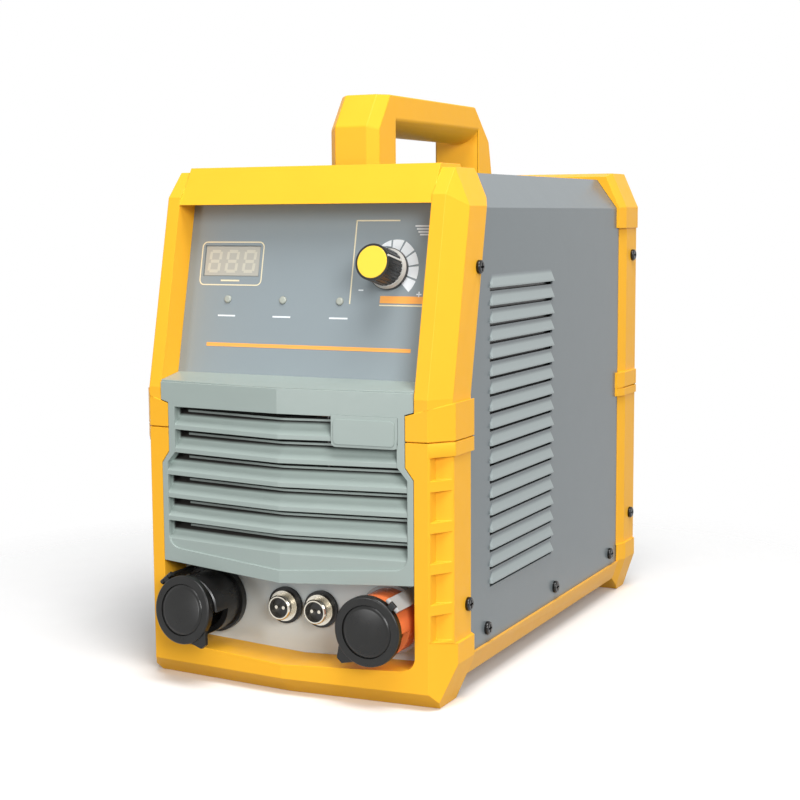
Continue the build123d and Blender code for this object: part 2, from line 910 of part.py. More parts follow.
# Base tray
with BuildPart() as base_tray:
    with BuildSketch(across(heel)):
        tray_slope = (tray_top_half - tray_low_half) / (cover_low_z - tray_low_z)
        inner_top = tray_top_half - tray_ledge
        Polygon(
            *both_sides(
                (tray_low_half, tray_low_z),
                (tray_top_half, cover_low_z),
                (inner_top, cover_low_z),
                (inner_top - tray_slope * (cover_low_z - tray_top), tray_top),
            )
        )
    extrude(amount=-(rear_lip - heel))
    with BuildSketch(Plane.YZ):
        Polygon((front + heel, 0), (front + lip_end, foot_top_z), (front + heel, foot_top_z))
    extrude(amount=half, both=True, mode=Mode.SUBTRACT)
    # upright tabs that the cover is screwed to
    for side in (1, -1):
        for screw_depth in cover_screw_depths:
            with BuildSketch(from_side(cover_half - sheet, screw_depth, tray_top + 2, side)) as tab:
                Rectangle(tab_width, tab_height, align=(Align.CENTER, Align.MIN))
                fillet(tab.vertices().group_by(Axis.Y)[-1], radius=tab_thickness)
            extrude(amount=-tab_thickness)
    with BuildSketch(Plane.YZ):
        with Locations(*[(front + depth, cover_screw_z) for depth in cover_screw_depths]):
            Circle(screw_hole)
    extrude(amount=half, both=True, mode=Mode.SUBTRACT)
write(base_tray.part, "base_tray")

# Carrying handle
with BuildPart() as carry_handle:
    with BuildSketch(Plane.YZ):
        Polygon(
            (front + handle_front, cover_top_z),
            (front + handle_front, handle_shoulder_z),
            (front + handle_top_front, handle_top_z),
            (front + handle_top_back, handle_top_z),
            (front + handle_rear_shoulder, handle_shoulder_z),
            (front + handle_back, cover_top_z),
        )
    extrude(amount=handle_half, both=True)
    end_edges = carry_handle.edges().filter_by(lambda edge: abs(edge.tangent_at(0.5).Z) > 0.1)
    chamfer(end_edges, length=handle_chamfer)
    # hand gap with a rounded underside to the grip
    grip_sag = grip_edge_z - grip_low_z
    grip_round = (handle_half**2 + grip_sag**2) / (2 * grip_sag)
    with BuildSketch(across(grip_front)):
        with Locations((0, cover_top_z)):
            Rectangle(2 * handle_half, grip_edge_z - cover_top_z, align=(Align.CENTER, Align.MIN))
        with Locations((0, grip_low_z + grip_round)):
            Circle(grip_round, mode=Mode.SUBTRACT)
    extrude(amount=-(grip_back - grip_front), mode=Mode.SUBTRACT)
    with BuildSketch(Plane.XY.offset(cover_top_z)):
        with Locations(*[(0, front + depth) for depth in handle_screw_depths]):
            Circle(screw_hole)
    extrude(amount=handle_screw_length, mode=Mode.SUBTRACT)
write(carry_handle.part, "carry_handle")

# Louvre grille: keeled border, inclined slats, recessed apron and a plain pad
grille_half = window_half - grille_gap
grille_notch = notch_half - grille_gap
upper_opening = grille_notch - grille_border
lower_opening = grille_half - grille_border + 1
notch_top_z = notch_high_z + joint_slope * (window_half - notch_half) + 2 * grille_gap


def along_keel(side, climb):
    """Direction from the middle to one side along the keel, climbing a little on the way."""
    return (side, keel / facet_low, climb / grille_half)


def keel_length(climb):
    """Length of the half grille along that direction."""
    return grille_half * hypot(1, keel / facet_low, climb / grille_half)


def grille_outline(inset):
    """Outline of the grille seen from the front, drawn in by an inset."""
    return both_sides(
        (0, grille_low_z - grille_dip + inset),
        (grille_half - inset, grille_low_z + inset),
        (grille_half - inset, notch_low_z - notch_slope - grille_gap),
        (grille_notch - inset, notch_low_z - grille_gap),
        (grille_notch - inset, notch_high_z + 2 * grille_gap),
        (grille_half - inset, notch_top_z),
        (grille_half - inset, grille_top_z),
    )


def slat_section(setback, foot, thickness):
    """Upright lip with a sheet rising backwards behind it; the foot is the height below the lip."""
    sheet_back = slat_thickness * 0.8
    sheet_drop = slat_thickness * 0.7
    return (
        (setback, -foot),
        (setback, slat_lip),
        (setback + slat_depth, slat_rise),
        (setback + slat_depth + sheet_back, slat_rise - sheet_drop),
        (setback + thickness, slat_lip - sheet_drop),
        (setback + thickness, -foot),
    )


with BuildPart() as slat_bank:
    for side in (1, -1):
        for index in range(slat_count + 1):
            last = index == slat_count  # the lowest one runs down into the apron
            with BuildSketch(Plane.YZ):
                with Locations((front - keel, slat_top_low_z - slat_sag - index * slat_pitch)):
                    Polygon(
                        *slat_section(
                            apron_setback if last else slat_setback,
                            slat_pitch if last else 0,
                            grille_thickness - apron_setback if last else slat_thickness,
                        )
                    )
        extrude(amount=keel_length(slat_sag), dir=along_keel(side, slat_sag))
    with BuildSketch(across(-2 * keel)):
        Polygon(*grille_outline(grille_border / 2))
    extrude(amount=-6 * keel, mode=Mode.INTERSECT)

with BuildPart() as grille_pad:
    with BuildSketch(Plane.XY.offset(pad_low_z)):
        Polygon(*keel_strip(grille_half, -pad_proud, grille_thickness + pad_proud))
    extrude(amount=grille_window_top_z + 1 - pad_low_z)
    with BuildSketch(across(-2 * keel)) as pad_outline:
        with Locations((pad_left, pad_low_z)):
            Rectangle(
                pad_right - pad_left, grille_window_top_z - pad_low_z + 2, align=(Align.MIN, Align.MIN)
            )
        fillet(pad_outline.vertices().group_by(Axis.Y)[0], radius=pad_radius)
    extrude(amount=-4 * keel, mode=Mode.INTERSECT)

# Shelves that run back from the grille: the upper one to the control panel, the lower to the sockets
with BuildPart() as grille_shelves:
    ledge_top_z = grille_top_z + ledge_rise
    with BuildSketch(Plane.XY.offset(grille_low_z)):
        Polygon(
            *both_sides(
                (0, front - keel + 1),
                (grille_half, keel_front(grille_half) + 1),
                (grille_half, front + 2 * panel_setback),
            )
        )
    extrude(amount=body_height / 2)
    with BuildSketch(Plane.YZ):
        Polygon(
            (front - keel, grille_top_z - shelf_thickness),
            (front - keel, grille_top_z),
            (front + panel_setback + lean_shift(ledge_top_z) - seat_gap, ledge_top_z),
            (
                front + panel_setback + lean_shift(ledge_top_z - shelf_thickness) - seat_gap,
                ledge_top_z - shelf_thickness,
            ),
        )
    extrude(amount=grille_half, both=True, mode=Mode.INTERSECT)
    for side in (1, -1):
        with BuildSketch(Plane.YZ):
            with Locations((front - keel + 1, grille_low_z - grille_dip)):
                Rectangle(socket_setback + keel, shelf_thickness, align=(Align.MIN, Align.MIN))
        extrude(amount=keel_length(grille_dip), dir=along_keel(side, grille_dip))
    with BuildSketch(across(socket_setback - seat_gap)):
        with Locations((0, grille_low_z)):
            Rectangle(body_width, body_height / 4)
    extrude(amount=-socket_setback, mode=Mode.SUBTRACT)

with BuildPart() as louvre_grille:
    with BuildSketch(Plane.XY.offset(grille_low_z - 2 * grille_dip)):
        Polygon(*keel_strip(grille_half, 0, grille_thickness))
    extrude(amount=grille_top_z - grille_low_z + 2 * grille_dip)
    with BuildSketch(across(-2 * keel)):
        Polygon(*grille_outline(0))
    extrude(amount=-4 * keel, mode=Mode.INTERSECT)
    with BuildSketch(across(-2 * keel)) as grille_window:
        Polygon(
            *both_sides(
                (0, grille_window_low_z - grille_window_dip),
                (lower_opening, grille_window_low_z),
                (lower_opening, notch_low_z - notch_slope),
                (upper_opening, notch_low_z),
                (upper_opening, grille_window_top_z),
            )
        )
        fillet(grille_window.vertices().group_by(Axis.Y)[1], radius=grille_radius)
    extrude(amount=-4 * keel, mode=Mode.SUBTRACT)
    add(slat_bank.part)
    add(grille_pad.part)
    add(grille_shelves.part)
write(louvre_grille.part, "louvre_grille")

# Connector panel
with BuildPart() as connector_panel:
    with BuildSketch(across(socket_setback)):
        with Locations((0, shelf_z)):
            Rectangle(2 * connector_half, connector_high_z - shelf_z, align=(Align.CENTER, Align.MIN))
        with Locations((-socket_x, socket_z), (socket_x, socket_z)):
            Circle(neck_radius + assembly_gap, mode=Mode.SUBTRACT)
        with Locations((-pin_socket_x, pin_socket_z), (pin_socket_x, pin_socket_z)):
            Circle(shell_radius + assembly_gap, mode=Mode.SUBTRACT)
    extrude(amount=-connector_sheet)
write(connector_panel.part, "connector_panel")


# Control panel, leaning, with posts behind it for the board
def on_panel(x, z, height):
    """Plane on the control panel at a place, raised above its face."""
    return Plane(
        origin=(
            x,
            front + panel_setback + lean_shift(z) - height * cos(lean),
            z + height * sin(lean),
        ),
        x_dir=(1, 0, 0),
        z_dir=(0, -cos(lean), sin(lean)),
    )


board_height = display_sink + display_depth  # front of the board behind the panel's face
posts = [
    (x, z)
    for x in (board_left + post_inset, board_right - post_inset)
    for z in (board_low_z + post_inset, board_high_z - post_inset)
]
with BuildPart() as control_panel:
    with BuildSketch(panel_plane):
        Rectangle(2 * panel_half, panel_high, align=(Align.CENTER, Align.MIN))
        with Locations((display_x, up_panel(display_z))):
            Rectangle(
                display_width + 2 * display_gap, display_height + 2 * display_gap, mode=Mode.SUBTRACT
            )
        with Locations(*[(x, up_panel(lamp_z)) for x in lamp_x]):
            Circle(lamp_hole, mode=Mode.SUBTRACT)
        with Locations((knob_x, up_panel(knob_z))):
            Circle(bushing_radius + assembly_gap, mode=Mode.SUBTRACT)
    extrude(amount=-panel_thickness)
    for x, z in posts:
        with BuildSketch(on_panel(x, z, -panel_thickness)):
            Circle(post_radius)
        extrude(amount=panel_thickness - board_height)
write(control_panel.part, "control_panel")

with BuildPart() as control_board:
    board_mid_z = (board_low_z + board_high_z) / 2
    with BuildSketch(on_panel((board_left + board_right) / 2, board_mid_z, -board_height)):
        Rectangle(board_right - board_left, (board_high_z - board_low_z) / cos(lean))
    extrude(amount=-board_thickness)
write(control_board.part, "control_board")

# Display and signal lamps, standing on the board
with BuildPart() as display_module:
    with BuildSketch(on_panel(display_x, display_z, -board_height)):
        Rectangle(display_width, display_height)
    extrude(amount=display_depth)
    chamfer(display_module.faces().sort_by(Axis.Y)[0].edges(), length=display_edge)
write(display_module.part, "display_module")


def lamp(x):
    """Round lamp with a domed lens, from the board through the panel."""
    with BuildPart() as piece:
        with BuildSketch(on_panel(x, lamp_z, -board_height)):
            Circle(lamp_radius)
        extrude(amount=board_height + lamp_proud)
        fillet(piece.edges().sort_by(Axis.Y)[0], radius=lamp_round)
        with BuildSketch(on_panel(x, lamp_z, -board_height)):
            Circle(lamp_radius + lamp_flange)
        extrude(amount=1)
    return piece.part


for x, lamp_name in zip(lamp_x, ("charging_lamp", "ready_lamp", "reset_lamp")):
    write(lamp(x), lamp_name)

# Voltage knob on a potentiometer
knob_face = on_panel(knob_x, knob_z, 0)
pot_floor = panel_thickness + pot_depth

with BuildPart() as potentiometer:
    with BuildSketch(knob_face.offset(-panel_thickness)):
        Circle(pot_radius)
    extrude(amount=-pot_depth)
    with BuildSketch(knob_face.offset(-panel_thickness)):
        Circle(bushing_radius)
    extrude(amount=panel_thickness + bushing_height)
    with BuildSketch(knob_face.offset(bushing_height)):
        Circle(shaft_radius + running_gap)
    extrude(amount=-(bushing_height + pot_floor - pot_end), mode=Mode.SUBTRACT)
write(potentiometer.part, "potentiometer")

with BuildPart() as potentiometer_nut:
    with BuildSketch(knob_face):
        RegularPolygon(nut_width / 2, 6, major_radius=False)
        Circle(bushing_radius + assembly_gap, mode=Mode.SUBTRACT)
    extrude(amount=nut_height)
write(potentiometer_nut.part, "potentiometer_nut")

with BuildPart() as potentiometer_shaft:
    with BuildSketch(knob_face.offset(shaft_height)):
        Circle(shaft_radius)
    extrude(amount=-(shaft_height + pot_floor - 2))
write(potentiometer_shaft.part, "potentiometer_shaft")

with BuildPart() as voltage_knob:
    with BuildSketch(knob_face.offset(knob_foot)):
        Circle(skirt_radius)
    extrude(amount=skirt_top - knob_foot)
    with BuildSketch(knob_face.offset(skirt_top)):
        Circle(collar_bore)
    extrude(amount=collar_top - skirt_top)
    with BuildSketch(knob_face.offset(collar_top)):
        Circle(knob_radius)
        with PolarLocations(knob_radius + flute_radius / 3, flute_count):
            Circle(flute_radius, mode=Mode.SUBTRACT)
    extrude(amount=knob_top - 2 - collar_top)
    with BuildSketch(knob_face.offset(knob_top - 2)):
        Circle(knob_radius)
    extrude(amount=2)
    # groove for the pointer, seat for the cap, hollow over the nut, hole for the shaft
    with BuildSketch(knob_face.offset(collar_top)):
        with Locations(Location((0, 0), pointer_angle)):
            with Locations((pointer_root - running_gap, 0)):
                Rectangle(wall, pointer_width + 2 * running_gap, align=(Align.MIN, Align.CENTER))
    extrude(amount=knob_top - collar_top, mode=Mode.SUBTRACT)
    with BuildSketch(knob_face.offset(knob_top)):
        Circle(knob_cap_radius + running_gap)
    extrude(amount=-knob_cap_sink, mode=Mode.SUBTRACT)
    with BuildSketch(knob_face.offset(knob_foot)):
        Circle(knob_hollow)
    extrude(amount=knob_hollow_top - knob_foot, mode=Mode.SUBTRACT)
    with BuildSketch(knob_face.offset(knob_foot)):
        Circle(shaft_radius + running_gap)
    extrude(amount=shaft_height + 1 - knob_foot, mode=Mode.SUBTRACT)
write(voltage_knob.part, "voltage_knob")

with BuildPart() as knob_ring:
    with BuildSketch(knob_face.offset(skirt_top)):
        Circle(collar_low_radius)
    with BuildSketch(knob_face.offset(collar_top)):
        Circle(collar_high_radius)
    loft()
    with BuildSketch(knob_face.offset(skirt_top)):
        Circle(collar_bore + running_gap)
    extrude(amount=collar_top, mode=Mode.SUBTRACT)
    # white pointer line up the side of the knob
    with BuildSketch(knob_face.offset(collar_top)):
        with Locations(Location((0, 0), pointer_angle)):
            with Locations((pointer_root, 0)):
                Rectangle(
                    knob_radius + pointer_proud - pointer_root,
                    pointer_width,
                    align=(Align.MIN, Align.CENTER),
                )
    extrude(amount=knob_top - collar_top)
write(knob_ring.part, "knob_ring")

with BuildPart() as knob_cap:
    with BuildSketch(knob_face.offset(knob_top - knob_cap_sink)):
        Circle(knob_cap_radius)
    extrude(amount=knob_cap_height)
    fillet(knob_cap.edges().sort_by(Axis.Y)[0], radius=knob_cap_round)
write(knob_cap.part, "knob_cap")


# Output sockets: insulated barrel, brass contact, nut, strap and hinged dust cap
def socket_body(x):
    """Barrel on the panel with a window in its wall and a neck through the panel."""
    with BuildPart() as piece:
        with BuildSketch(end_on(x, socket_setback, socket_z)):
            Circle(barrel_radius)
        extrude(amount=socket_setback - barrel_front)
        chamfer(piece.edges().sort_by(Axis.Y)[0], length=socket_edge)
        with BuildSketch(end_on(x, barrel_front, socket_z)):
            Circle(barrel_bore)
        extrude(amount=barrel_front - barrel_floor, mode=Mode.SUBTRACT)
        with BuildSketch(end_on(x, barrel_front, socket_z)):
            with Locations(Location((0, 0), slot_angle)):
                with Locations((contact_radius, 0)):
                    Rectangle(barrel_radius, slot_width, align=(Align.MIN, Align.CENTER))
        extrude(amount=-slot_length, mode=Mode.SUBTRACT)
        with BuildSketch(end_on(x, socket_setback, socket_z)):
            Circle(neck_radius)
        extrude(amount=socket_setback - neck_end)
        with BuildSketch(end_on(x, barrel_floor, socket_z)):
            Circle(contact_stud + assembly_gap)
        extrude(amount=barrel_floor - neck_end, mode=Mode.SUBTRACT)
    return piece.part


def socket_contact(x):
    """Brass socket with a stud that runs out behind the panel."""
    with BuildPart() as piece:
        with BuildSketch(end_on(x, barrel_floor, socket_z)):
            Circle(contact_radius)
        extrude(amount=barrel_floor - contact_front)
        chamfer(piece.edges().sort_by(Axis.Y)[0], length=socket_edge)
        with BuildSketch(end_on(x, contact_front, socket_z)):
            Circle(contact_bore)
        extrude(amount=-(barrel_floor - contact_floor - contact_front), mode=Mode.SUBTRACT)
        with BuildSketch(end_on(x, barrel_floor, socket_z)):
            Circle(contact_stud)
        extrude(amount=-(stud_end - barrel_floor))
    return piece.part


def socket_nut(x):
    """Hexagon nut behind the panel."""
    with BuildPart() as piece:
        with BuildSketch(end_on(x, socket_setback + connector_sheet, socket_z)):
            RegularPolygon(socket_nut_width / 2, 6, major_radius=False)
            Circle(neck_radius + assembly_gap, mode=Mode.SUBTRACT)
        extrude(amount=-socket_nut_height)
    return piece.part


def turned(x, depth, angle):
    """Plane facing the front on a socket's axis, with its x direction turned to an angle."""
    way = radians(angle)
    return Plane(
        origin=(x, front + depth, socket_z), x_dir=(cos(way), 0, sin(way)), z_dir=(0, -1, 0)
    )


def hinge_plane(x, angle):
    """Plane across the hinge of a cap: local x points out from the axis, local y to the front."""
    way = radians(angle)
    out = (cos(way), 0, sin(way))
    return Plane(
        origin=(x + hinge_radius * out[0], front + hinge_depth, socket_z + hinge_radius * out[2]),
        x_dir=out,
        z_dir=(sin(way), 0, -cos(way)),
    )


def socket_strap(x, angle):
    """Collar round the barrel with an arm along it that carries the cap's hinge."""
    arm_low = hinge_radius - strap_thickness / 2
    with BuildPart() as piece:
        with BuildSketch(turned(x, collar_back, angle)):
            Circle(collar_radius)
            with Locations((barrel_radius, 0)):
                Rectangle(
                    arm_low + strap_thickness - barrel_radius,
                    strap_width,
                    align=(Align.MIN, Align.CENTER),
                )
            Circle(barrel_radius + running_gap, mode=Mode.SUBTRACT)
        extrude(amount=collar_back - collar_front)
        with BuildSketch(turned(x, collar_front, angle)):
            with Locations((arm_low, 0)):
                Rectangle(strap_thickness, strap_width, align=(Align.MIN, Align.CENTER))
        extrude(amount=collar_front - barrel_front)
        # two outer knuckles
        finger = (strap_width - knuckle_width) / 2 - knuckle_gap
        for side in (1, -1):
            with BuildSketch(turned(x, barrel_front, angle)):
                with Locations((hinge_radius, side * (strap_width - finger) / 2)):
                    Rectangle(strap_thickness, finger)
            extrude(amount=barrel_front - hinge_depth)
            with BuildSketch(hinge_plane(x, angle).offset(side * (strap_width / 2 - finger))):
                Circle(knuckle_radius)
            extrude(amount=side * finger)
    return piece.part


def socket_cap(x, angle, opened):
    """Dust cap with a dished face, a plug ring, a pull tab and the middle knuckle."""
    cap_back = barrel_front - cap_gap
    with BuildPart() as piece:
        with BuildSketch(turned(x, cap_back, angle)):
            Circle(cap_radius)
        extrude(amount=cap_disc)
        fillet(piece.edges().sort_by(Axis.Y)[0], radius=cap_round)
        with BuildSketch(turned(x, cap_back - cap_disc, angle)):
            Circle(cap_dish_radius)
        extrude(amount=-cap_dish, mode=Mode.SUBTRACT)
        with BuildSketch(turned(x, cap_back, angle)):
            Circle(plug_radius)
            Circle(plug_radius - plug_wall, mode=Mode.SUBTRACT)
        extrude(amount=-plug_depth)
        with BuildSketch(turned(x, cap_back - cap_tab_inset, angle)):
            with Locations((-cap_radius + cap_tab_root, 0)):
                Trapezoid(
                    cap_tab_width + cap_tab_flare,
                    cap_tab + cap_tab_root,
                    cap_tab_angle,
                    rotation=90,
                    align=(Align.CENTER, Align.MIN),
                )
        extrude(amount=cap_tab_thickness)
        with BuildSketch(turned(x, hinge_depth + knuckle_radius, angle)):
            with Locations((hinge_radius, 0)):
                Rectangle(hinge_radius - cap_radius + 3, knuckle_width, align=(Align.MAX, Align.CENTER))
        extrude(amount=2 * knuckle_radius)
        with BuildSketch(hinge_plane(x, angle)):
            Circle(knuckle_radius)
        extrude(amount=knuckle_width / 2, both=True)
    hinge = hinge_plane(x, angle)
    return piece.part.rotate(Axis(hinge.origin, -hinge.z_dir), opened)


for colour, x, angle, opened in (
    ("black", -socket_x, black_strap_angle, black_cap_ajar),
    ("red", socket_x, red_strap_angle, 0),
):
    write(socket_body(x), f"{colour}_socket_body")
    write(socket_contact(x), f"{colour}_socket_contact")
    write(socket_nut(x), f"{colour}_socket_nut")
    write(socket_strap(x, angle), f"{colour}_socket_strap")
    write(socket_cap(x, angle, opened), f"{colour}_socket_cap")


# Two-pin sockets: nickel shell, insert, pins, gasket ring and nut
def pin_socket_shell(x):
    """Threaded shell with a flange in front of the panel."""
    with BuildPart() as piece:
        with BuildSketch(end_on(x, shell_rear, pin_socket_z)):
            Circle(shell_radius)
        extrude(amount=shell_rear - shell_front)
        chamfer(piece.edges().sort_by(Axis.Y)[0], length=shell_edge)
        with BuildSketch(end_on(x, socket_setback - gasket_height, pin_socket_z)):
            Circle(shell_flange_radius)
        extrude(amount=shell_flange)
        with BuildSketch(end_on(x, shell_front, pin_socket_z)):
            Circle(shell_bore)
        extrude(amount=shell_front - shell_rear, mode=Mode.SUBTRACT)
    return piece.part


def pin_socket_insert(x):
    """Insulating insert with two holes for the pins."""
    with BuildPart() as piece:
        with BuildSketch(end_on(x, insert_front, pin_socket_z)):
            Circle(shell_bore - assembly_gap)
            with Locations((-pin_offset, 0), (pin_offset, 0)):
                Circle(pin_radius + running_gap, mode=Mode.SUBTRACT)
        extrude(amount=insert_front - shell_rear)
    return piece.part


for side, x in (("left", -pin_socket_x), ("right", pin_socket_x)):
    write(pin_socket_shell(x), f"{side}_pin_socket_shell")
    write(pin_socket_insert(x), f"{side}_pin_socket_insert")

pin_places = [
    (side * pin_socket_x + offset, pin_socket_z)
    for side in (-1, 1)
    for offset in (-pin_offset, pin_offset)
]
with BuildPart() as pin_socket_contacts:
    with BuildSketch(across(pin_front)):
        with Locations(*pin_places):
            Circle(pin_radius)
    extrude(amount=pin_front - shell_rear - 3)
write(pin_socket_contacts.part, "pin_socket_contacts")

with BuildPart() as pin_socket_rings:
    with BuildSketch(across(socket_setback)):
        with Locations((-pin_socket_x, pin_socket_z), (pin_socket_x, pin_socket_z)):
            Circle(gasket_radius)
            Circle(shell_radius + assembly_gap, mode=Mode.SUBTRACT)
    extrude(amount=gasket_height)
write(pin_socket_rings.part, "pin_socket_rings")

with BuildPart() as pin_socket_nuts:
    with BuildSketch(across(socket_setback + connector_sheet)):
        with Locations((-pin_socket_x, pin_socket_z), (pin_socket_x, pin_socket_z)):
            RegularPolygon(shell_nut_width / 2, 6, major_radius=False)
            Circle(shell_radius + assembly_gap, mode=Mode.SUBTRACT)
    extrude(amount=-shell_nut_height)
write(pin_socket_nuts.part, "pin_socket_nuts")


# Screws
def screw(length):
    """Cross-head screw, its head standing on the origin and its shank below."""
    with BuildPart() as piece:
        with BuildSketch():
            Circle(screw_head_radius)
        extrude(amount=screw_head_height)
        fillet(piece.edges().sort_by(Axis.Z)[-1], radius=screw_head_height * 0.5)
        with BuildSketch(Plane.XY.offset(screw_head_height)):
            Rectangle(screw_head_radius * 1.2, screw_cross)
            Rectangle(screw_cross, screw_head_radius * 1.2)
        extrude(amount=-screw_head_height * 0.5, mode=Mode.SUBTRACT)
        with BuildSketch():
            Circle(screw_radius)
        extrude(amount=-length)
    return piece.part


def side_screws(places, surface):
    """Screws at places given as depth and height, in both sides."""
    form = screw(screw_length)
    return [
        form.moved(from_side(surface, depth, z, side).location)
        for depth, z in places
        for side in (1, -1)
    ]


with BuildPart() as front_frame_screws:
    add(side_screws((front_screw_high, front_screw_low), half))
write(front_frame_screws.part, "front_frame_screws")

with BuildPart() as rear_frame_screws:
    add(side_screws((rear_screw_high, rear_screw_low), half))
write(rear_frame_screws.part, "rear_frame_screws")

with BuildPart() as cover_screws:
    add(side_screws([(depth, cover_screw_z) for depth in cover_screw_depths], cover_half))
write(cover_screws.part, "cover_screws")

with BuildPart() as handle_screws:
    handle_screw = screw(handle_screw_length - 1)
    for depth in handle_screw_depths:
        under_top = Plane((0, front + depth, cover_top_z - sheet), x_dir=(1, 0, 0), z_dir=(0, 0, -1))
        add(handle_screw.moved(under_top.location))
write(handle_screws.part, "handle_screws")

# Storage capacitors, their bracket and the bus bars
can_places = [
    (across_x * can_pitch / 2, front + can_depth + along * can_pitch / 2)
    for across_x in (-1, 1)
    for along in (-1, 1)
]
can_top_z = tray_top + can_height
with BuildPart() as capacitor_cans:
    with BuildSketch(Plane.XY.offset(tray_top)):
        with Locations(*can_places):
            Circle(can_radius)
    extrude(amount=can_height)
    fillet(capacitor_cans.edges().group_by(Axis.Z)[-1], radius=2)
    with BuildSketch(Plane.XY.offset(can_top_z)):
        for x, y in can_places:
            with Locations((x - terminal_offset, y), (x + terminal_offset, y)):
                Circle(terminal_radius)
    extrude(amount=terminal_height)
write(capacitor_cans.part, "capacitor_cans")

with BuildPart() as capacitor_bracket:
    with BuildSketch(Plane.XY.offset(bracket_z)):
        with Locations((0, front + can_depth)):
            Rectangle(2 * bracket_half, 2 * bracket_half)
        with Locations(*can_places):
            Circle(can_radius + can_gap, mode=Mode.SUBTRACT)
    extrude(amount=bracket_sheet)
    with BuildSketch(Plane.XY.offset(tray_top)):
        for across_x in (-1, 1):
            for along in (-1, 1):
                with Locations(
                    (
                        across_x * (bracket_half - bracket_sheet / 2),
                        front + can_depth + along * (bracket_half - bracket_flange),
                    )
                ):
                    Rectangle(bracket_sheet, 2 * bracket_flange)
    extrude(amount=bracket_z - tray_top)
write(capacitor_bracket.part, "capacitor_bracket")


def busbar(offset, joint_side):
    """Two strips over one row of terminals each side, joined across at the front or back."""
    strip_x = can_pitch / 2 + offset
    reach = can_pitch / 2 + bus_width / 2
    with BuildPart() as piece:
        with BuildSketch(Plane.XY.offset(can_top_z + terminal_height)):
            with Locations((-strip_x, front + can_depth), (strip_x, front + can_depth)):
                Rectangle(bus_width, 2 * reach)
            with Locations((0, front + can_depth + joint_side * (reach + bus_width / 2))):
                Rectangle(2 * strip_x + bus_width, bus_width)
        extrude(amount=bus_thickness)
    return piece.part


write(busbar(terminal_offset, 1), "busbar_positive")
write(busbar(-terminal_offset, -1), "busbar_negative")

# Transformer
core_window = (core_width - 4 * core_leg) / 2
with BuildPart() as transformer_core:
    with BuildSketch(across(room_depth - core_stack / 2)):
        with Locations((core_x, tray_top)):
            Rectangle(core_width, core_height, align=(Align.CENTER, Align.MIN))
        for side in (1, -1):
            with Locations((core_x + side * (core_leg + core_window / 2), tray_top + core_height / 2)):
                Rectangle(core_window, core_height - 2 * core_leg, mode=Mode.SUBTRACT)
    extrude(amount=-core_stack)
write(transformer_core.part, "transformer_core")

with BuildPart() as transformer_coil:
    with BuildSketch(Plane.XY.offset(tray_top + core_leg + coil_gap)) as coil_plan:
        with Locations((core_x, front + room_depth)):
            Rectangle(2 * (core_leg + core_window - coil_gap), core_stack + 2 * coil_overhang)
            fillet(coil_plan.vertices(), radius=coil_overhang * 0.7)
            Rectangle(2 * (core_leg + coil_gap), core_stack + 2 * coil_gap, mode=Mode.SUBTRACT)
    extrude(amount=core_height - 2 * (core_leg + coil_gap))
write(transformer_coil.part, "transformer_coil")

# Heat sink with the thyristor module
sink_top_z = tray_top + fin_height + sink_base
with BuildPart() as heat_sink:
    with BuildSketch(across(room_depth - sink_length / 2)):
        with Locations((sink_x, sink_top_z)):
            Rectangle(sink_width, sink_base, align=(Align.CENTER, Align.MAX))
        with Locations((sink_x, tray_top + fin_height / 2)):
            with GridLocations((sink_width - fin_thickness) / (fin_count - 1), 1, fin_count, 1):
                Rectangle(fin_thickness, fin_height)
    extrude(amount=-sink_length)
write(heat_sink.part, "heat_sink")

with BuildPart() as thyristor_module:
    with BuildSketch(Plane.XY.offset(sink_top_z)):
        with Locations((sink_x, front + room_depth)):
            Rectangle(module_width, module_length)
    extrude(amount=module_height)
    with BuildSketch(Plane.XY.offset(sink_top_z + module_height)):
        with Locations((sink_x, front + room_depth)):
            with GridLocations(1, module_length / (module_terminals + 0.5), 1, module_terminals):
                Circle(terminal_radius)
    extrude(amount=terminal_height / 2)
write(thyristor_module.part, "thyristor_module")

# Fan: frame with struts and a bearing, rotor, guard and screws
fan_front = rear_panel_depth - fan_depth
fan_corners = [
    (across_x * fan_hole_pitch / 2, fan_z + up * fan_hole_pitch / 2)
    for across_x in (-1, 1)
    for up in (-1, 1)
]
with BuildPart() as fan_frame:
    with BuildSketch(across(fan_front)) as fan_square:
        with Locations((0, fan_z)):
            Rectangle(fan_size, fan_size)
            fillet(fan_square.vertices(), radius=sill_radius)
            Circle(fan_bore, mode=Mode.SUBTRACT)
        with Locations(*fan_corners):
            Circle(screw_hole, mode=Mode.SUBTRACT)
    extrude(amount=-fan_depth)
    with BuildSketch(across(rear_panel_depth - strut_depth)):
        with Locations((0, fan_z)):
            Circle(fan_hub)
            with PolarLocations(fan_bore / 2, 4):
                Rectangle(fan_bore + 2, strut_width)
    extrude(amount=-strut_depth)
    with BuildSketch(across(rear_panel_depth - strut_depth)):
        with Locations((0, fan_z)):
            Circle(bearing_radius)
    extrude(amount=bearing_length)
    with BuildSketch(across(fan_front)):
        with Locations((0, fan_z)):
            Circle(fan_shaft + running_gap)
    extrude(amount=-(fan_depth - bearing_end), mode=Mode.SUBTRACT)
write(fan_frame.part, "fan_frame")

rotor_front = fan_front + 1
rotor_back = rear_panel_depth - strut_depth - 1
with BuildPart() as fan_blade_ring:
    for index in range(fan_blades):
        turn = 360 / fan_blades * index
        spoke = Plane(
            origin=(0, front + (rotor_front + rotor_back) / 2, fan_z),
            x_dir=(0, 1, 0),
            z_dir=(cos(radians(turn)), 0, sin(radians(turn))),
        )
        with BuildSketch(spoke.offset(fan_hub / 2)):
            Rectangle(blade_chord, blade_thickness, rotation=blade_pitch)
        extrude(amount=fan_bore - fan_hub / 2)
    with BuildSketch(across(rotor_front)):
        with Locations((0, fan_z)):
            Circle(fan_bore - blade_tip_gap)
    extrude(amount=rotor_front - rotor_back, mode=Mode.INTERSECT)

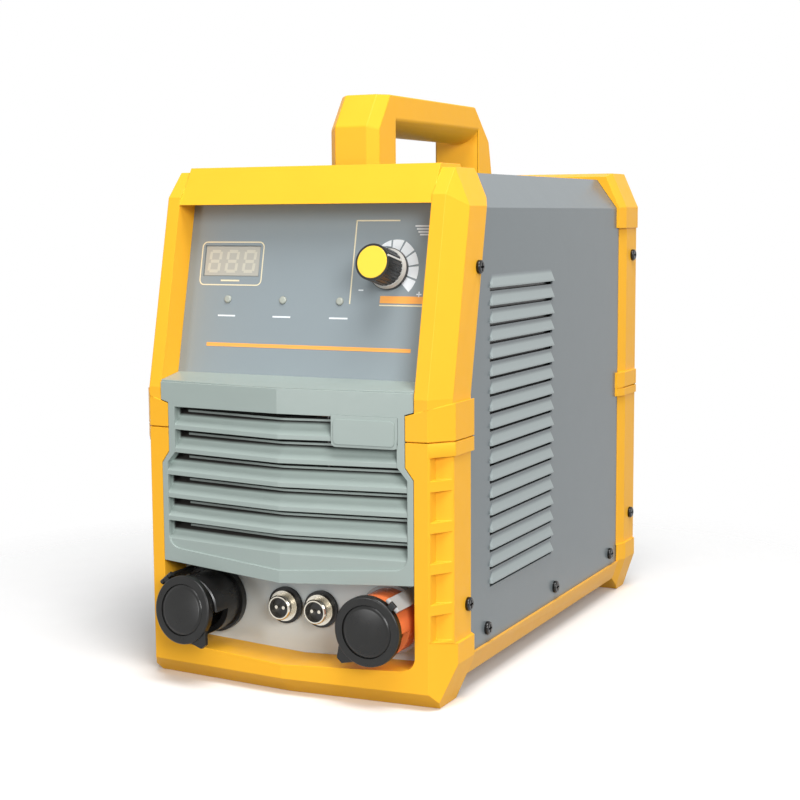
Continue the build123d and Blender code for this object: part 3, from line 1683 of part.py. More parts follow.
with BuildPart() as fan_rotor:
    with BuildSketch(across(rotor_front)):
        with Locations((0, fan_z)):
            Circle(fan_hub)
    extrude(amount=rotor_front - rotor_back)
    add(fan_blade_ring.part)
    with BuildSketch(across(rotor_back)):
        with Locations((0, fan_z)):
            Circle(fan_hub - 2)
    extrude(amount=rotor_back - rotor_front - 2, mode=Mode.SUBTRACT)
    with BuildSketch(across(rotor_front)):
        with Locations((0, fan_z)):
            Circle(fan_shaft)
    extrude(amount=-(fan_depth - 1 - 2))
write(fan_rotor.part, "fan_rotor")

guard_plane = rear_panel_depth + connector_sheet
with BuildPart() as fan_guard:
    with BuildSketch(across(guard_plane + guard_wire)):
        with Locations((0, fan_z)):
            for radius in sorted(guard_rings, reverse=True):
                Circle(radius + guard_wire / 2)
                Circle(radius - guard_wire / 2, mode=Mode.SUBTRACT)
    extrude(amount=-guard_wire)
    with BuildSketch(across(guard_plane)):
        for across_x, up in ((1, 1), (1, -1)):
            with Locations(Location((0, fan_z), 45 * across_x * up)):
                Rectangle(fan_hole_pitch * 2**0.5, 2 * guard_wire)
        with Locations(*fan_corners):
            Circle(guard_eye)
        with Locations(*fan_corners):
            Circle(screw_hole, mode=Mode.SUBTRACT)
    extrude(amount=-guard_wire)
write(fan_guard.part, "fan_guard")

with BuildPart() as fan_screws:
    fan_screw = screw(fan_screw_length)
    for x, z in fan_corners:
        behind = Plane((x, front + guard_plane + guard_wire, z), x_dir=(-1, 0, 0), z_dir=(0, 1, 0))
        add(fan_screw.moved(behind.location))
write(fan_screws.part, "fan_screws")

# Rear panel
with BuildPart() as rear_panel:
    with BuildSketch(across(rear_panel_depth)):
        Polygon(
            *both_sides(
                (foot_half - wall - seat_gap, shelf_z),
                (foot_half - wall - seat_gap, cover_low_z + seat_gap),
                (cover_half - seat_gap, cover_low_z + seat_gap),
                (cover_half - seat_gap, fold_z),
                (cover_top_half - seat_gap, cover_top_z - seat_gap),
            )
        )
        with Locations((0, fan_z)):
            Circle(fan_bore, mode=Mode.SUBTRACT)
        with Locations(*fan_corners):
            Circle(screw_hole, mode=Mode.SUBTRACT)
        with Locations((switch_x, switch_z)):
            Rectangle(
                switch_width + 2 * assembly_gap, switch_height + 2 * assembly_gap, mode=Mode.SUBTRACT
            )
        with Locations((gland_x, gland_z)):
            Circle(gland_thread + assembly_gap, mode=Mode.SUBTRACT)
        with Locations((earth_x, earth_z)):
            Circle(earth_radius + assembly_gap, mode=Mode.SUBTRACT)
    extrude(amount=-connector_sheet)
write(rear_panel.part, "rear_panel")

# Power switch on the rear panel, its rocker tilted to off
switch_back = guard_plane - switch_body_depth
pivot_depth = guard_plane + switch_bezel - rocker_sink
with BuildPart() as power_switch_body:
    with BuildSketch(across(switch_back)):
        with Locations((switch_x, switch_z)):
            Rectangle(switch_width, switch_height)
    extrude(amount=-switch_body_depth)
    with BuildSketch(across(guard_plane)):
        with Locations((switch_x, switch_z)):
            Rectangle(switch_width + 2 * switch_rim, switch_height + 2 * switch_rim)
    extrude(amount=-switch_bezel)
    with BuildSketch(across(guard_plane + switch_bezel)):
        with Locations((switch_x, switch_z)):
            Rectangle(switch_width - 2 * switch_wall, switch_height - 2 * switch_wall)
    extrude(amount=switch_cavity, mode=Mode.SUBTRACT)
    with BuildSketch(Plane.YZ.offset(switch_x)):
        with Locations((front + pivot_depth, switch_z)):
            Circle(rocker_pivot + running_gap)
    extrude(amount=switch_width / 2 - switch_wall / 3, both=True, mode=Mode.SUBTRACT)
write(power_switch_body.part, "power_switch_body")

rocker_half = switch_height / 2 - switch_wall - 4 * rocker_gap
with BuildPart() as power_switch_rocker:
    with BuildSketch(Plane.YZ.offset(switch_x)):
        with Locations(Location((front + pivot_depth, switch_z), -rocker_tilt)):
            Polygon(
                (rocker_sink + rocker_waist, 0),
                (rocker_sink + rocker_cheek, rocker_half),
                (0, rocker_half - 1),
                (-rocker_sink, 0),
                (0, 1 - rocker_half),
                (rocker_sink + rocker_cheek, -rocker_half),
            )
    extrude(amount=switch_width / 2 - switch_wall - rocker_gap, both=True)
    with BuildSketch(Plane.YZ.offset(switch_x)):
        with Locations((front + pivot_depth, switch_z)):
            Circle(rocker_pivot)
    extrude(amount=switch_width / 2 - switch_wall / 3 - rocker_gap, both=True)
write(power_switch_rocker.part, "power_switch_rocker")

# Cable gland with its nut, and the earth stud
with BuildPart() as cable_gland:
    with BuildSketch(across(guard_plane)):
        with Locations((gland_x, gland_z)):
            RegularPolygon(gland_nut_width / 2, 6, major_radius=False)
    extrude(amount=-gland_hex)
    with BuildSketch(across(guard_plane + gland_hex)):
        with Locations((gland_x, gland_z)):
            Circle(gland_radius)
    extrude(amount=-gland_dome)
    fillet(cable_gland.edges().sort_by(Axis.Y)[-1], radius=gland_dome * 0.6)
    with BuildSketch(across(guard_plane)):
        with Locations((gland_x, gland_z)):
            Circle(gland_thread)
    extrude(amount=gland_tail)
    with BuildSketch(across(guard_plane - gland_tail)):
        with Locations((gland_x, gland_z)):
            Circle(gland_bore)
    extrude(amount=-2 * gland_tail, mode=Mode.SUBTRACT)
write(cable_gland.part, "cable_gland")

with BuildPart() as gland_nut:
    with BuildSketch(across(rear_panel_depth)):
        with Locations((gland_x, gland_z)):
            RegularPolygon(gland_nut_width / 2, 6, major_radius=False)
            Circle(gland_thread + assembly_gap, mode=Mode.SUBTRACT)
    extrude(amount=gland_hex)
write(gland_nut.part, "gland_nut")

with BuildPart() as earth_stud:
    with BuildSketch(across(guard_plane)):
        with Locations((earth_x, earth_z)):
            RegularPolygon(earth_radius * 1.7, 6, major_radius=False)
    extrude(amount=-earth_shoulder)
    with BuildSketch(across(guard_plane - earth_tail)):
        with Locations((earth_x, earth_z)):
            Circle(earth_radius)
    extrude(amount=-(earth_tail + earth_shoulder + earth_length))
write(earth_stud.part, "earth_stud")
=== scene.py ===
"""Studio scene of a portable stud welder: materials, printed marks, small pieces and light around the frame.

Metres, in the frame's own axes: x across, y from the front (negative) to the back, z up from the floor.
Small sizes are written in millimetres and turned into metres where they are named.
"""

import json
from math import atan2, cos, pi, radians, sin, tan

import bpy
from mathutils import Matrix, Vector


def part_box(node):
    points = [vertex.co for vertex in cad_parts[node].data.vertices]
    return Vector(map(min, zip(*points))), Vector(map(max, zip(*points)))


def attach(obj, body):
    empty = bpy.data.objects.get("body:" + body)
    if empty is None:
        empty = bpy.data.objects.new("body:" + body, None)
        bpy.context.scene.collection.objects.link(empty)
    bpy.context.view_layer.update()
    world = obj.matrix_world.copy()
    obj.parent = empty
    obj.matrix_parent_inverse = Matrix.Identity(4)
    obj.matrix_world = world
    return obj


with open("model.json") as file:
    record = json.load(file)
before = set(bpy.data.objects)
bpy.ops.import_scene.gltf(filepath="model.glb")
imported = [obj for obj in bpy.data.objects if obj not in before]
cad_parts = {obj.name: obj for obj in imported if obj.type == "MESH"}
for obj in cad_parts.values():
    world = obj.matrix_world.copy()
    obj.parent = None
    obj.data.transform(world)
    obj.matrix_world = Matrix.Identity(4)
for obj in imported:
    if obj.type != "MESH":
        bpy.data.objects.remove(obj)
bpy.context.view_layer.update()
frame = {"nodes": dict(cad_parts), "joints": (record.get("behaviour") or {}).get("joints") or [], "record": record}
nodes = frame["nodes"]
MM = 0.001


def mm(*sizes):
    """Sizes written in millimetres, in metres."""
    return [size * MM for size in sizes]


# Places taken from the frame
joints = {joint["name"]: joint for joint in frame["joints"]}
knob_foot = Vector(joints["knob_turn"]["pos_m"])
panel_normal = Vector(joints["knob_turn"]["axis"])
panel_lean = atan2(panel_normal.z, -panel_normal.y)
keel = 7 * MM  # the grille's middle stands this far in front of the ends of its two facets
facet_width = 99 * MM  # from the keel to the end of a facet
keel_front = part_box("front_frame_lower")[0].y
front = keel_front + keel


# Helpers for nodes
class Tree:
    """Helpers for the nodes of a material or of the world."""

    def __init__(self, tree):
        self.nodes = tree.nodes
        self.links = tree.links

    def node(self, kind, **values):
        """New node with its properties set."""
        made = self.nodes.new(kind)
        for key, value in values.items():
            setattr(made, key, value)
        return made

    def fill(self, socket, value):
        """Link a socket to another one, or set it to a constant."""
        if isinstance(value, bpy.types.NodeSocket):
            self.links.new(value, socket)
        else:
            socket.default_value = value

    def math(self, operation, *values):
        """Result of a Math node on sockets and constants."""
        made = self.node("ShaderNodeMath", operation=operation)
        for socket, value in zip(made.inputs, values):
            self.fill(socket, value)
        return made.outputs["Value"]

    def seen_directly(self):
        """1 for light that reaches the camera straight, in a mirror or through glass, and else 0."""
        path = self.node("ShaderNodeLightPath")
        straight = self.math("MAXIMUM", path.outputs["Is Camera Ray"], path.outputs["Is Glossy Ray"])
        return self.math("MAXIMUM", straight, path.outputs["Is Transmission Ray"])


noise_roughness = 0.55
noise_range = (0.3, 0.7)  # most of a noise lies between these values
mix_inputs = (6, 7)  # the two colour sockets of a Mix node
mix_output = 2


class Shader(Tree):
    """A material with one surface shader and helpers for the nodes in front of it."""

    def __init__(self, name):
        self.material = bpy.data.materials.new(name)
        self.material.use_nodes = True
        super().__init__(self.material.node_tree)
        self.surface = self.nodes["Principled BSDF"]
        self.place = self.node("ShaderNodeTexCoord").outputs["Object"]

    def set(self, **values):
        """Constants on the shader's own sockets."""
        for key, value in values.items():
            self.surface.inputs[key.replace("_", " ")].default_value = value

    def axes(self):
        """The place on the object, as x, y and z."""
        made = self.node("ShaderNodeSeparateXYZ")
        self.links.new(self.place, made.inputs["Vector"])
        return made.outputs["X"], made.outputs["Y"], made.outputs["Z"]

    def noise(self, scale, detail=3.0, stretch=(1, 1, 1)):
        """Noise through the object, in cycles per metre, stretched along the axes."""
        mapping = self.node("ShaderNodeMapping")
        mapping.inputs["Scale"].default_value = stretch
        self.links.new(self.place, mapping.inputs["Vector"])
        made = self.node("ShaderNodeTexNoise")
        made.inputs["Scale"].default_value = scale
        made.inputs["Detail"].default_value = detail
        made.inputs["Roughness"].default_value = noise_roughness
        self.links.new(mapping.outputs["Vector"], made.inputs["Vector"])
        return made.outputs["Fac"]

    def span(self, value, low, high, start=noise_range[0], end=noise_range[1]):
        """A value that goes from low to high while another one goes from start to end."""
        made = self.node("ShaderNodeMapRange")
        made.inputs["From Min"].default_value = start
        made.inputs["From Max"].default_value = end
        made.inputs["To Min"].default_value = low
        made.inputs["To Max"].default_value = high
        self.links.new(value, made.inputs["Value"])
        return made.outputs["Result"]

    def mix(self, share, *colours):
        """Colour between two, by a share."""
        made = self.node("ShaderNodeMix", data_type="RGBA")
        self.links.new(share, made.inputs["Factor"])
        for index, colour in zip(mix_inputs, colours):
            self.fill(made.inputs[index], colour)
        return made.outputs[mix_output]

    def bump(self, height, distance):
        """Surface relief from a height value."""
        made = self.node("ShaderNodeBump")
        made.inputs["Distance"].default_value = distance
        self.links.new(height, made.inputs["Height"])
        self.links.new(made.outputs["Normal"], self.surface.inputs["Normal"])

    def colour(self, value):
        """Link the base colour."""
        self.links.new(value, self.surface.inputs["Base Color"])

    def rough(self, value):
        """Link the roughness."""
        self.links.new(value, self.surface.inputs["Roughness"])


def linear(*colour):
    """Colour written as 0 to 255 display values, turned into shader values."""
    values = [channel / 255 for channel in colour]
    return [v / 12.92 if v < 0.04045 else ((v + 0.055) / 1.055) ** 2.4 for v in values] + [1]


def shade(colour, factor):
    """A lighter or darker version of a colour."""
    return [channel * factor for channel in colour[:3]] + [1]


# Plain materials: scales in cycles per metre, relief in metres, vary as a share of the colour
fine_grain = 2600
fine_relief = 0.006 * MM
grain_detail = 2.0
mottle_scale = 45
gloss_scale = 160
gloss_vary = 0.12


def plain_shader(name, colour, rough, grain=fine_grain, relief=fine_relief, vary=0.05, shine=0.5):
    """Moulded, painted or rubber surface: faint mottling, uneven gloss and a fine grain.

    Its tone stays at hand for materials that mix it with other colours.
    """
    made = Shader(name)
    made.set(Specular_IOR_Level=shine)
    paint = linear(*colour)
    made.tone = made.mix(made.noise(mottle_scale), shade(paint, 1 - vary), shade(paint, 1 + vary))
    made.colour(made.tone)
    made.rough(made.span(made.noise(gloss_scale), rough * (1 - gloss_vary), rough * (1 + gloss_vary)))
    made.bump(made.noise(grain, detail=grain_detail), relief)
    return made


plain_looks = {
    "yellow_plastic": {"colour": (255, 187, 50), "rough": 0.36, "vary": 0.03, "shine": 0.1},
    "yellow_paint": {
        "colour": (248, 184, 76),
        "rough": 0.4,
        "grain": 1800,
        "relief": 0.008 * MM,
        "vary": 0.03,
        "shine": 0.1,
    },
    "panel_grey": {"colour": (140, 151, 156), "rough": 0.5, "grain": 3000, "vary": 0.02},
    "panel_steel": {
        "colour": (202, 209, 209),
        "rough": 0.36,
        "grain": 1500,
        "relief": 0.008 * MM,
        "vary": 0.03,
    },
    "black_plastic": {"colour": (26, 26, 26), "rough": 0.3, "vary": 0.1},
    "red_plastic": {"colour": (240, 128, 74), "rough": 0.25},
    "black_rubber": {"colour": (16, 16, 15), "rough": 0.3, "grain": 2200, "vary": 0.08, "shine": 0.4},
    "grey_rubber": {"colour": (168, 168, 166), "rough": 0.15, "grain": 2200},
    "yellow_gloss": {"colour": (255, 213, 64), "rough": 0.35, "vary": 0.02},
    "white_plastic": {"colour": (204, 204, 200), "rough": 0.35, "vary": 0.02},
    "lamp_lens": {"colour": (172, 177, 167), "rough": 0.3, "grain": 1200, "relief": 0.01 * MM},
    "display_face": {"colour": (182, 180, 170), "rough": 0.35, "vary": 0.02},
    "black_steel": {"colour": (8, 8, 8), "rough": 0.16, "grain": 1500, "vary": 0.1},
    "can_sleeve": {"colour": (30, 34, 44), "rough": 0.35, "grain": 900, "relief": 0.02 * MM},
    "lamination": {"colour": (92, 88, 84), "rough": 0.55, "grain": 900, "relief": 0.02 * MM, "vary": 0.1},
    "winding": {"colour": (150, 86, 36), "rough": 0.4, "grain": 700, "relief": 0.1 * MM, "vary": 0.1},
    "board_green": {"colour": (20, 78, 42), "rough": 0.4, "grain": 900, "relief": 0.02 * MM, "vary": 0.06},
    "white_ink": {"colour": (240, 246, 250), "rough": 0.45, "relief": 0.01 * MM, "vary": 0.01},
    "cream_ink": {"colour": (240, 228, 194), "rough": 0.45, "relief": 0.01 * MM, "vary": 0.01},
    "orange_ink": {"colour": (255, 176, 84), "rough": 0.45, "relief": 0.01 * MM, "vary": 0.02},
    "segment_lens": {"colour": (204, 201, 186), "rough": 0.35, "relief": 0.01 * MM, "vary": 0.01},
}

# Bare metals
metal_line_scale = 900
metal_gloss_scale = 1300
metal_grain = 2200
metal_relief = 0.01 * MM
metal_tones = (0.88, 1.06)
metal_gloss = (0.75, 1.3)


def metal_material(name, colour, rough, stretch=(1, 1, 1)):
    """Bare metal with faint drawn lines."""
    made = Shader(name)
    made.set(Metallic=1.0)
    tones = [shade(linear(*colour), factor) for factor in metal_tones]
    made.colour(made.mix(made.noise(metal_line_scale, stretch=stretch), *tones))
    gloss = [rough * factor for factor in metal_gloss]
    made.rough(made.span(made.noise(metal_gloss_scale, stretch=stretch), *gloss))
    made.bump(made.noise(metal_grain, stretch=stretch), metal_relief)
    return made.material


metal_looks = {
    "nickel": {"colour": (214, 208, 194), "rough": 0.2},
    "brass": {"colour": (214, 176, 96), "rough": 0.25},
    "steel": {"colour": (170, 170, 168), "rough": 0.35},
    "copper": {"colour": (206, 128, 84), "rough": 0.3},
    "aluminium": {"colour": (196, 198, 200), "rough": 0.38, "stretch": (1, 0.05, 1)},
}

# Grille's plastic, with painted light up the slat faces and painted shade in the gaps: depths are behind the
# keeled front
slat_painted_light_colour = linear(188, 203, 197)
slat_painted_light_depths = mm(3.6, 6.0)  # painted light: a slat gets paler between these, against the shade from the slat above
gap_painted_shade_colour = linear(58, 55, 53)
gap_painted_shade_depths = mm(6.1, 7.9)  # painted shade: a gap goes dark between these
gap_painted_shade_shift = 0.7 * MM  # the painted shade starts this much deeper on the right
gap_painted_shade_shift_places = mm(-40, 5)  # across: from where the shift grows, and where it is full
slat_top = 178 * MM  # above it the grille keeps its own colour
slat_top_fade = 0.5 * MM


def grille_material():
    """Grille plastic with painted light that makes it paler up the faces of the slats, and painted shade that
    makes it dark in the gaps behind them.
    """
    made = plain_shader("grille_grey", (157, 170, 165), rough=0.32, vary=0.03)
    x, y, z = made.axes()
    behind = made.math("MULTIPLY_ADD", made.math("ABSOLUTE", x), -keel / facet_width, y)
    shifted = made.math("ADD", behind, made.span(x, 0, -gap_painted_shade_shift, *gap_painted_shade_shift_places))
    in_slats = made.span(z, 1, 0, slat_top, slat_top + slat_top_fade)
    # Painted light: paler up the slat faces, where the slat above shades them
    slat_painted_light_share = made.span(behind, 0, 1, *[keel_front + depth for depth in slat_painted_light_depths])
    # Painted shade: dark in the gaps behind the slats, where they are in shadow
    gap_painted_shade_share = made.span(shifted, 0, 1, *[keel_front + depth for depth in gap_painted_shade_depths])
    slat_painted_light_tone = made.mix(made.math("MULTIPLY", slat_painted_light_share, in_slats), made.tone, slat_painted_light_colour)
    made.colour(made.mix(made.math("MULTIPLY", gap_painted_shade_share, in_slats), slat_painted_light_tone, gap_painted_shade_colour))
    return made.material


# Cover's paint, with painted light on the louvres
louvre_painted_light_colour = linear(152, 162, 162)
louvre_rise = 1.7 * MM  # the louvres stand this far out of the sheet
louvre_painted_light_heights = mm(0.15, 0.6)  # painted light: the paint gets paler between these, out from the sheet


def cover_material():
    """Grey paint, with painted light that makes it paler on the louvres that are pressed out of the sheet."""
    made = plain_shader("grey_paint", (116, 124, 127), rough=0.24, grain=1500, vary=0.03, shine=0.35)
    x, _, _ = made.axes()
    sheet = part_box("cover")[1].x - louvre_rise
    # Painted light: paler where the louvres stand out of the sheet and face more of the light
    louvre_painted_light_share = made.span(made.math("ABSOLUTE", x), 0, 1, *[sheet + height for height in louvre_painted_light_heights])
    made.colour(made.mix(louvre_painted_light_share, made.tone, louvre_painted_light_colour))
    return made.material


materials = {name: plain_shader(name, **look).material for name, look in plain_looks.items()}
materials.update({name: metal_material(name, **look) for name, look in metal_looks.items()})
materials["grille_grey"] = grille_material()
materials["grey_paint"] = cover_material()
for subpart in frame["record"]["subparts"]:
    slots = nodes[subpart["node"]].data.materials
    slots.clear()
    slots.append(materials[subpart["material_slot"]])


# Helpers for pieces
def add_piece(name, shape, material, body="chassis"):
    """New mesh from vertices and faces, which rides on a body and takes its finish from a slot."""
    vertices, faces = shape
    mesh = bpy.data.meshes.new(name)
    mesh.from_pydata(vertices, [], faces)
    mesh.materials.append(materials[material])
    piece = bpy.data.objects.new(name, mesh)
    bpy.context.scene.collection.objects.link(piece)
    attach(piece, body)
    return piece


def plate(outline, place, outer, inner):
    """Vertices and faces of a closed plate between two levels.

    The outline runs anticlockwise as seen from outside. place turns one of its points and a level into
    a point in space.
    """
    count = len(outline)
    vertices = [place(*point, level) for level in (outer, inner) for point in outline]
    faces = [list(range(count)), list(range(2 * count - 1, count - 1, -1))]
    for index in range(count):
        after = (index + 1) % count
        faces.append([index, index + count, after + count, after])
    return vertices, faces


def bar(x0, z0, x1, z1, width):
    """Outline of a straight line, level or upright."""
    half = width / 2
    if abs(x1 - x0) > abs(z1 - z0):
        return [(x0, z0 - half), (x1, z1 - half), (x1, z1 + half), (x0, z0 + half)]
    return [(x0 - half, z0), (x0 + half, z0), (x1 + half, z1), (x1 - half, z1)]


arc_steps = 8


def arc(centre, radii, start, end):
    """Points along an arc in degrees, whose radius goes from the first to the second of two radii."""
    points = []
    for step in range(arc_steps + 1):
        share = step / arc_steps
        angle = radians(start + (end - start) * share)
        radius = radii[0] + (radii[1] - radii[0]) * share
        points.append((centre[0] + radius * cos(angle), centre[1] + radius * sin(angle)))
    return points


def sector(centre, inner, outer, start, end):
    """Anticlockwise outline of a piece of a ring, with its radii at the start and at the end of the arc."""
    outline = arc(centre, outer, start, end) + arc(centre, inner, start, end)[::-1]
    return outline if end > start else outline[::-1]


def corner_arcs(left, right, low, high, radius):
    """Centre and first angle of each corner arc of a rounded rectangle."""
    return [
        ((right - radius, high - radius), 0),
        ((left + radius, high - radius), 90),
        ((left + radius, low + radius), 180),
        ((right - radius, low + radius), 270),
    ]


# Printed marks on the control panel, as thin raised ink
ink_height = 0.12 * MM


def on_panel(x, z, height):
    """Point over the control panel, at a place across and a height above the floor."""
    return Vector((x, knob_foot.y + (z - knob_foot.z) * tan(panel_lean), z)) + panel_normal * height


def add_marks(name, outlines, ink, low=0.0):
    """Thin plates on the panel, one for each outline, as one piece."""
    vertices = []
    faces = []
    for outline in outlines:
        start = len(vertices)
        points, sides = plate(outline, on_panel, low + ink_height, low)
        vertices += points
        faces += [[start + index for index in side] for side in sides]
    add_piece(name, (vertices, faces), ink)


def add_level_line(name, left, right, z, thickness, ink):
    """One level line on the panel."""
    add_marks(name, [bar(left, z, right, z, thickness)], ink)


# Rounded frame round the display, drawn as four lines and four corner arcs
frame_left, frame_right, frame_low, frame_high = mm(-80.6, -34.2, 254.6, 282.0)
frame_corner = 3.4 * MM
frame_line = 0.75 * MM
frame_inner = [frame_corner - frame_line / 2] * 2
frame_outer = [frame_corner + frame_line / 2] * 2
frame_marks = [
    sector(centre, frame_inner, frame_outer, start, start + 90)
    for centre, start in corner_arcs(frame_left, frame_right, frame_low, frame_high, frame_corner)
]
for z in (frame_low, frame_high):
    frame_marks.append(bar(frame_left + frame_corner, z, frame_right - frame_corner, z, frame_line))
for x in (frame_left, frame_right):
    frame_marks.append(bar(x, frame_low + frame_corner, x, frame_high - frame_corner, frame_line))
add_marks("display_outline", frame_marks, "cream_ink")

# Lines round the knob and the band under it
bracket_line = 0.8 * MM
bracket_x, bracket_foot, bracket_head = mm(31.5, 244.0, 295.6)
bracket_level, bracket_end = mm(295.4, 61.5)
bracket = [
    bar(bracket_x, bracket_foot, bracket_x, bracket_head, bracket_line),
    bar(bracket_x - bracket_line / 2, bracket_level, bracket_end, bracket_level, bracket_line),
]
add_marks("knob_bracket", bracket, "cream_ink")
level_starts = [mm(72.1, 292.0), mm(73.3, 290.2), mm(74.5, 288.4), mm(75.7, 286.7)]  # left end and height
level_end = 82 * MM
level_thickness = 0.9 * MM
level_lines = [bar(x, z, level_end, z, level_thickness) for x, z in level_starts]
add_marks("level_lines", level_lines, "white_ink")
knob_band = mm(52.4, 83.5, 247.1, 4.4)  # left, right, height and thickness, as in the two below
knob_band_line = mm(52.2, 83.5, 243.6, 0.8)
title_line = mm(-70.5, 76.4, 216.6, 2.3)
add_level_line("knob_band", *knob_band, "orange_ink")
add_level_line("knob_band_line", *knob_band_line, "cream_ink")
add_level_line("title_line", *title_line, "orange_ink")

# Dial: segments that grow clockwise from a thin one at the top, with angles in degrees
dial_centre = (knob_foot.x, knob_foot.z)
dial_inner, dial_outer = mm(12.0, 19.5)
dial_top = 90.0
dial_pitch = 27.2
dial_gap = 4.0
dial_count = 5  # segments after the thin one
dial_edges = [dial_top - dial_pitch * index for index in range(dial_count + 1)]
thin_start = 117.0
thin_inner = mm(15.4, 14.0)  # at its start and its end
thin_outer = mm(16.2, 17.9)
second_outer = 18 * MM  # at the start of the segment after the thin one
dial_segments = [sector(dial_centre, thin_inner, thin_outer, thin_start, dial_edges[0] + dial_gap / 2)]
for index, (start, end) in enumerate(zip(dial_edges, dial_edges[1:])):
    outer_radii = (dial_outer if index else second_outer, dial_outer)
    inner_radii = (dial_inner, dial_inner)
    segment = sector(dial_centre, inner_radii, outer_radii, start - dial_gap / 2, end + dial_gap / 2)
    dial_segments.append(segment)
add_marks("dial_segments", dial_segments, "white_ink")

# Less and more signs beside the dial
sign_half = 1.7 * MM
sign_line = 0.8 * MM
less_place = mm(38.6, 252.6)
more_place = mm(78.6, 250.6)
signs = [bar(x - sign_half, z, x + sign_half, z, sign_line) for x, z in (less_place, more_place)]
more_x, more_z = more_place
signs.append(bar(more_x, more_z - sign_half, more_x, more_z + sign_half, sign_line))
add_marks("dial_signs", signs, "white_ink")

# A plain line under each lamp and under the display
lamp_line_drop = 9.4 * MM
lamp_line_half = 6.5 * MM
lamp_line_thickness = 1.0 * MM
display_line = mm(-64.5, -50.5, 257.4, 1.0)  # left, right, height and thickness
lamp_lines = []
for lamp_name in ("charging_lamp", "ready_lamp", "reset_lamp"):
    lamp_low, lamp_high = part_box(lamp_name)
    lamp_middle = (lamp_low + lamp_high) / 2
    line_left = lamp_middle.x - lamp_line_half
    line_right = lamp_middle.x + lamp_line_half
    line_z = lamp_middle.z - lamp_line_drop
    lamp_lines.append(bar(line_left, line_z, line_right, line_z, lamp_line_thickness))
add_marks("lamp_lines", lamp_lines, "white_ink")
add_level_line("display_line", *display_line, "cream_ink")

# Seven-segment digits behind the display's face
display_low, display_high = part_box("display_module")
display_x = (display_low.x + display_high.x) / 2
display_z = 269.8 * MM
digit_height, digit_width, digit_pitch = mm(14.6, 9.4, 13.1)
digit_slant = 0.09
digit_depth = -0.55 * MM
stroke = 2.0 * MM
level_gap = 0.75 * stroke  # what a level stroke leaves free at each end
upright_gap = 0.6 * stroke
level_half = digit_width / 2 - level_gap
digits = []
for position in (-1, 0, 1):
    digit_x = display_x + position * digit_pitch
    for row in (-1, 0, 1):
        z = display_z + row * (digit_height - stroke) / 2
        x = digit_x + digit_slant * (z - display_z)
        digits.append(bar(x - level_half, z, x + level_half, z, stroke))
    for side in (-1, 1):
        upright_x = digit_x + side * (digit_width - stroke) / 2
        for row in (-1, 1):
            foot_rise = (row - 1) * digit_height / 4 + upright_gap
            top_rise = (row + 1) * digit_height / 4 - upright_gap
            foot_x = upright_x + digit_slant * foot_rise
            top_x = upright_x + digit_slant * top_rise
            digits.append(bar(foot_x, display_z + foot_rise, top_x, display_z + top_rise, stroke))
add_marks("display_segments", digits, "segment_lens", low=digit_depth)

# Grille: end walls, rails and a web behind the slats, and a raised plate on the pad
edge_segments = 2


def on_keel(x, z, depth):
    """Point behind the V-shaped front of the grille, at a place across and a height."""
    return Vector((x, front - keel * (1 - abs(x) / facet_width) + depth, z))


def add_moulded(name, shape, edge):
    """Piece of the grille's plastic with small rounded edges."""
    piece = add_piece(name, shape, "grille_grey")
    rounded = piece.modifiers.new("edges", "BEVEL")
    rounded.width = edge
    rounded.segments = edge_segments


def bent_bar(stations, half, low, high):
    """Vertices and faces of a square bar through places on the grille's front, at two depths behind it."""
    vertices = []
    for x, z in stations:
        vertices += [on_keel(x, z - half, low), on_keel(x, z + half, low)]
        vertices += [on_keel(x, z + half, high), on_keel(x, z - half, high)]
    last = len(vertices) - 4
    faces = [[0, 1, 2, 3], [last + 3, last + 2, last + 1, last]]
    for start in range(0, last, 4):
        for corner in range(4):
            after = (corner + 1) % 4
            faces.append([start + after, start + corner, start + corner + 4, start + after + 4])
    return vertices, faces


grille_edge = 0.2 * MM
wall_line = [mm(86.0, 84.0), mm(86.0, 141.5), mm(79.5, 149.0), mm(79.5, 178.0)]
wall_thickness = 1.2 * MM
wall_depths = mm(2.6, 14.5)
for side, side_name in ((-1, "left"), (1, "right")):
    near_line = [(side * x, z) for x, z in wall_line]
    far_line = [(side * (x + wall_thickness), z) for x, z in reversed(wall_line)]
    wall = plate((near_line + far_line)[::-side], on_keel, *wall_depths)
    add_moulded(f"slat_wall_{side_name}", wall, grille_edge)

rail_heights = mm(174.0, 159.2, 144.25, 129.55, 114.55, 99.75)  # at the keel
rail_ends = mm(36.0, 36.0, 82.0, 86.5, 86.5, 86.5)
rail_left = -73 * MM
rail_rise = 1.4 * MM / facet_width  # slope, up from the keel
rail_half = 0.75 * MM
rail_depths = mm(7.2, 9.4)
for index, (rail_z, rail_end) in enumerate(zip(rail_heights, rail_ends)):
    stations = [(x, rail_z + rail_rise * abs(x)) for x in (rail_left, 0, rail_end)]
    add_moulded(f"slat_rail_{index + 1}", bent_bar(stations, rail_half, *rail_depths), grille_edge)

web_x, web_low, web_high, web_thickness = mm(30.0, 86.0, 177.0, 1.2)
web_depths = mm(9.2, 10.4)
web_outline = bar(web_x, web_low, web_x, web_high, web_thickness)
add_moulded("slat_web", plate(web_outline, on_keel, *web_depths), grille_edge)

pad_left, pad_right, pad_low, pad_high = mm(38.2, 78.2, 161.2, 176.8)
pad_corner = 2.6 * MM
pad_proud = 0.6 * MM  # the pad stands this far in front of the keeled front
pad_plate_height = 0.7 * MM
pad_edge = 0.35 * MM
pad_outline = []
for centre, start in corner_arcs(pad_left, pad_right, pad_low, pad_high, pad_corner):
    pad_outline += arc(centre, (pad_corner, pad_corner), start, start + 90)
pad_plate = plate(pad_outline, on_keel, -pad_proud - pad_plate_height, -pad_proud)
add_moulded("pad_plate", pad_plate, pad_edge)

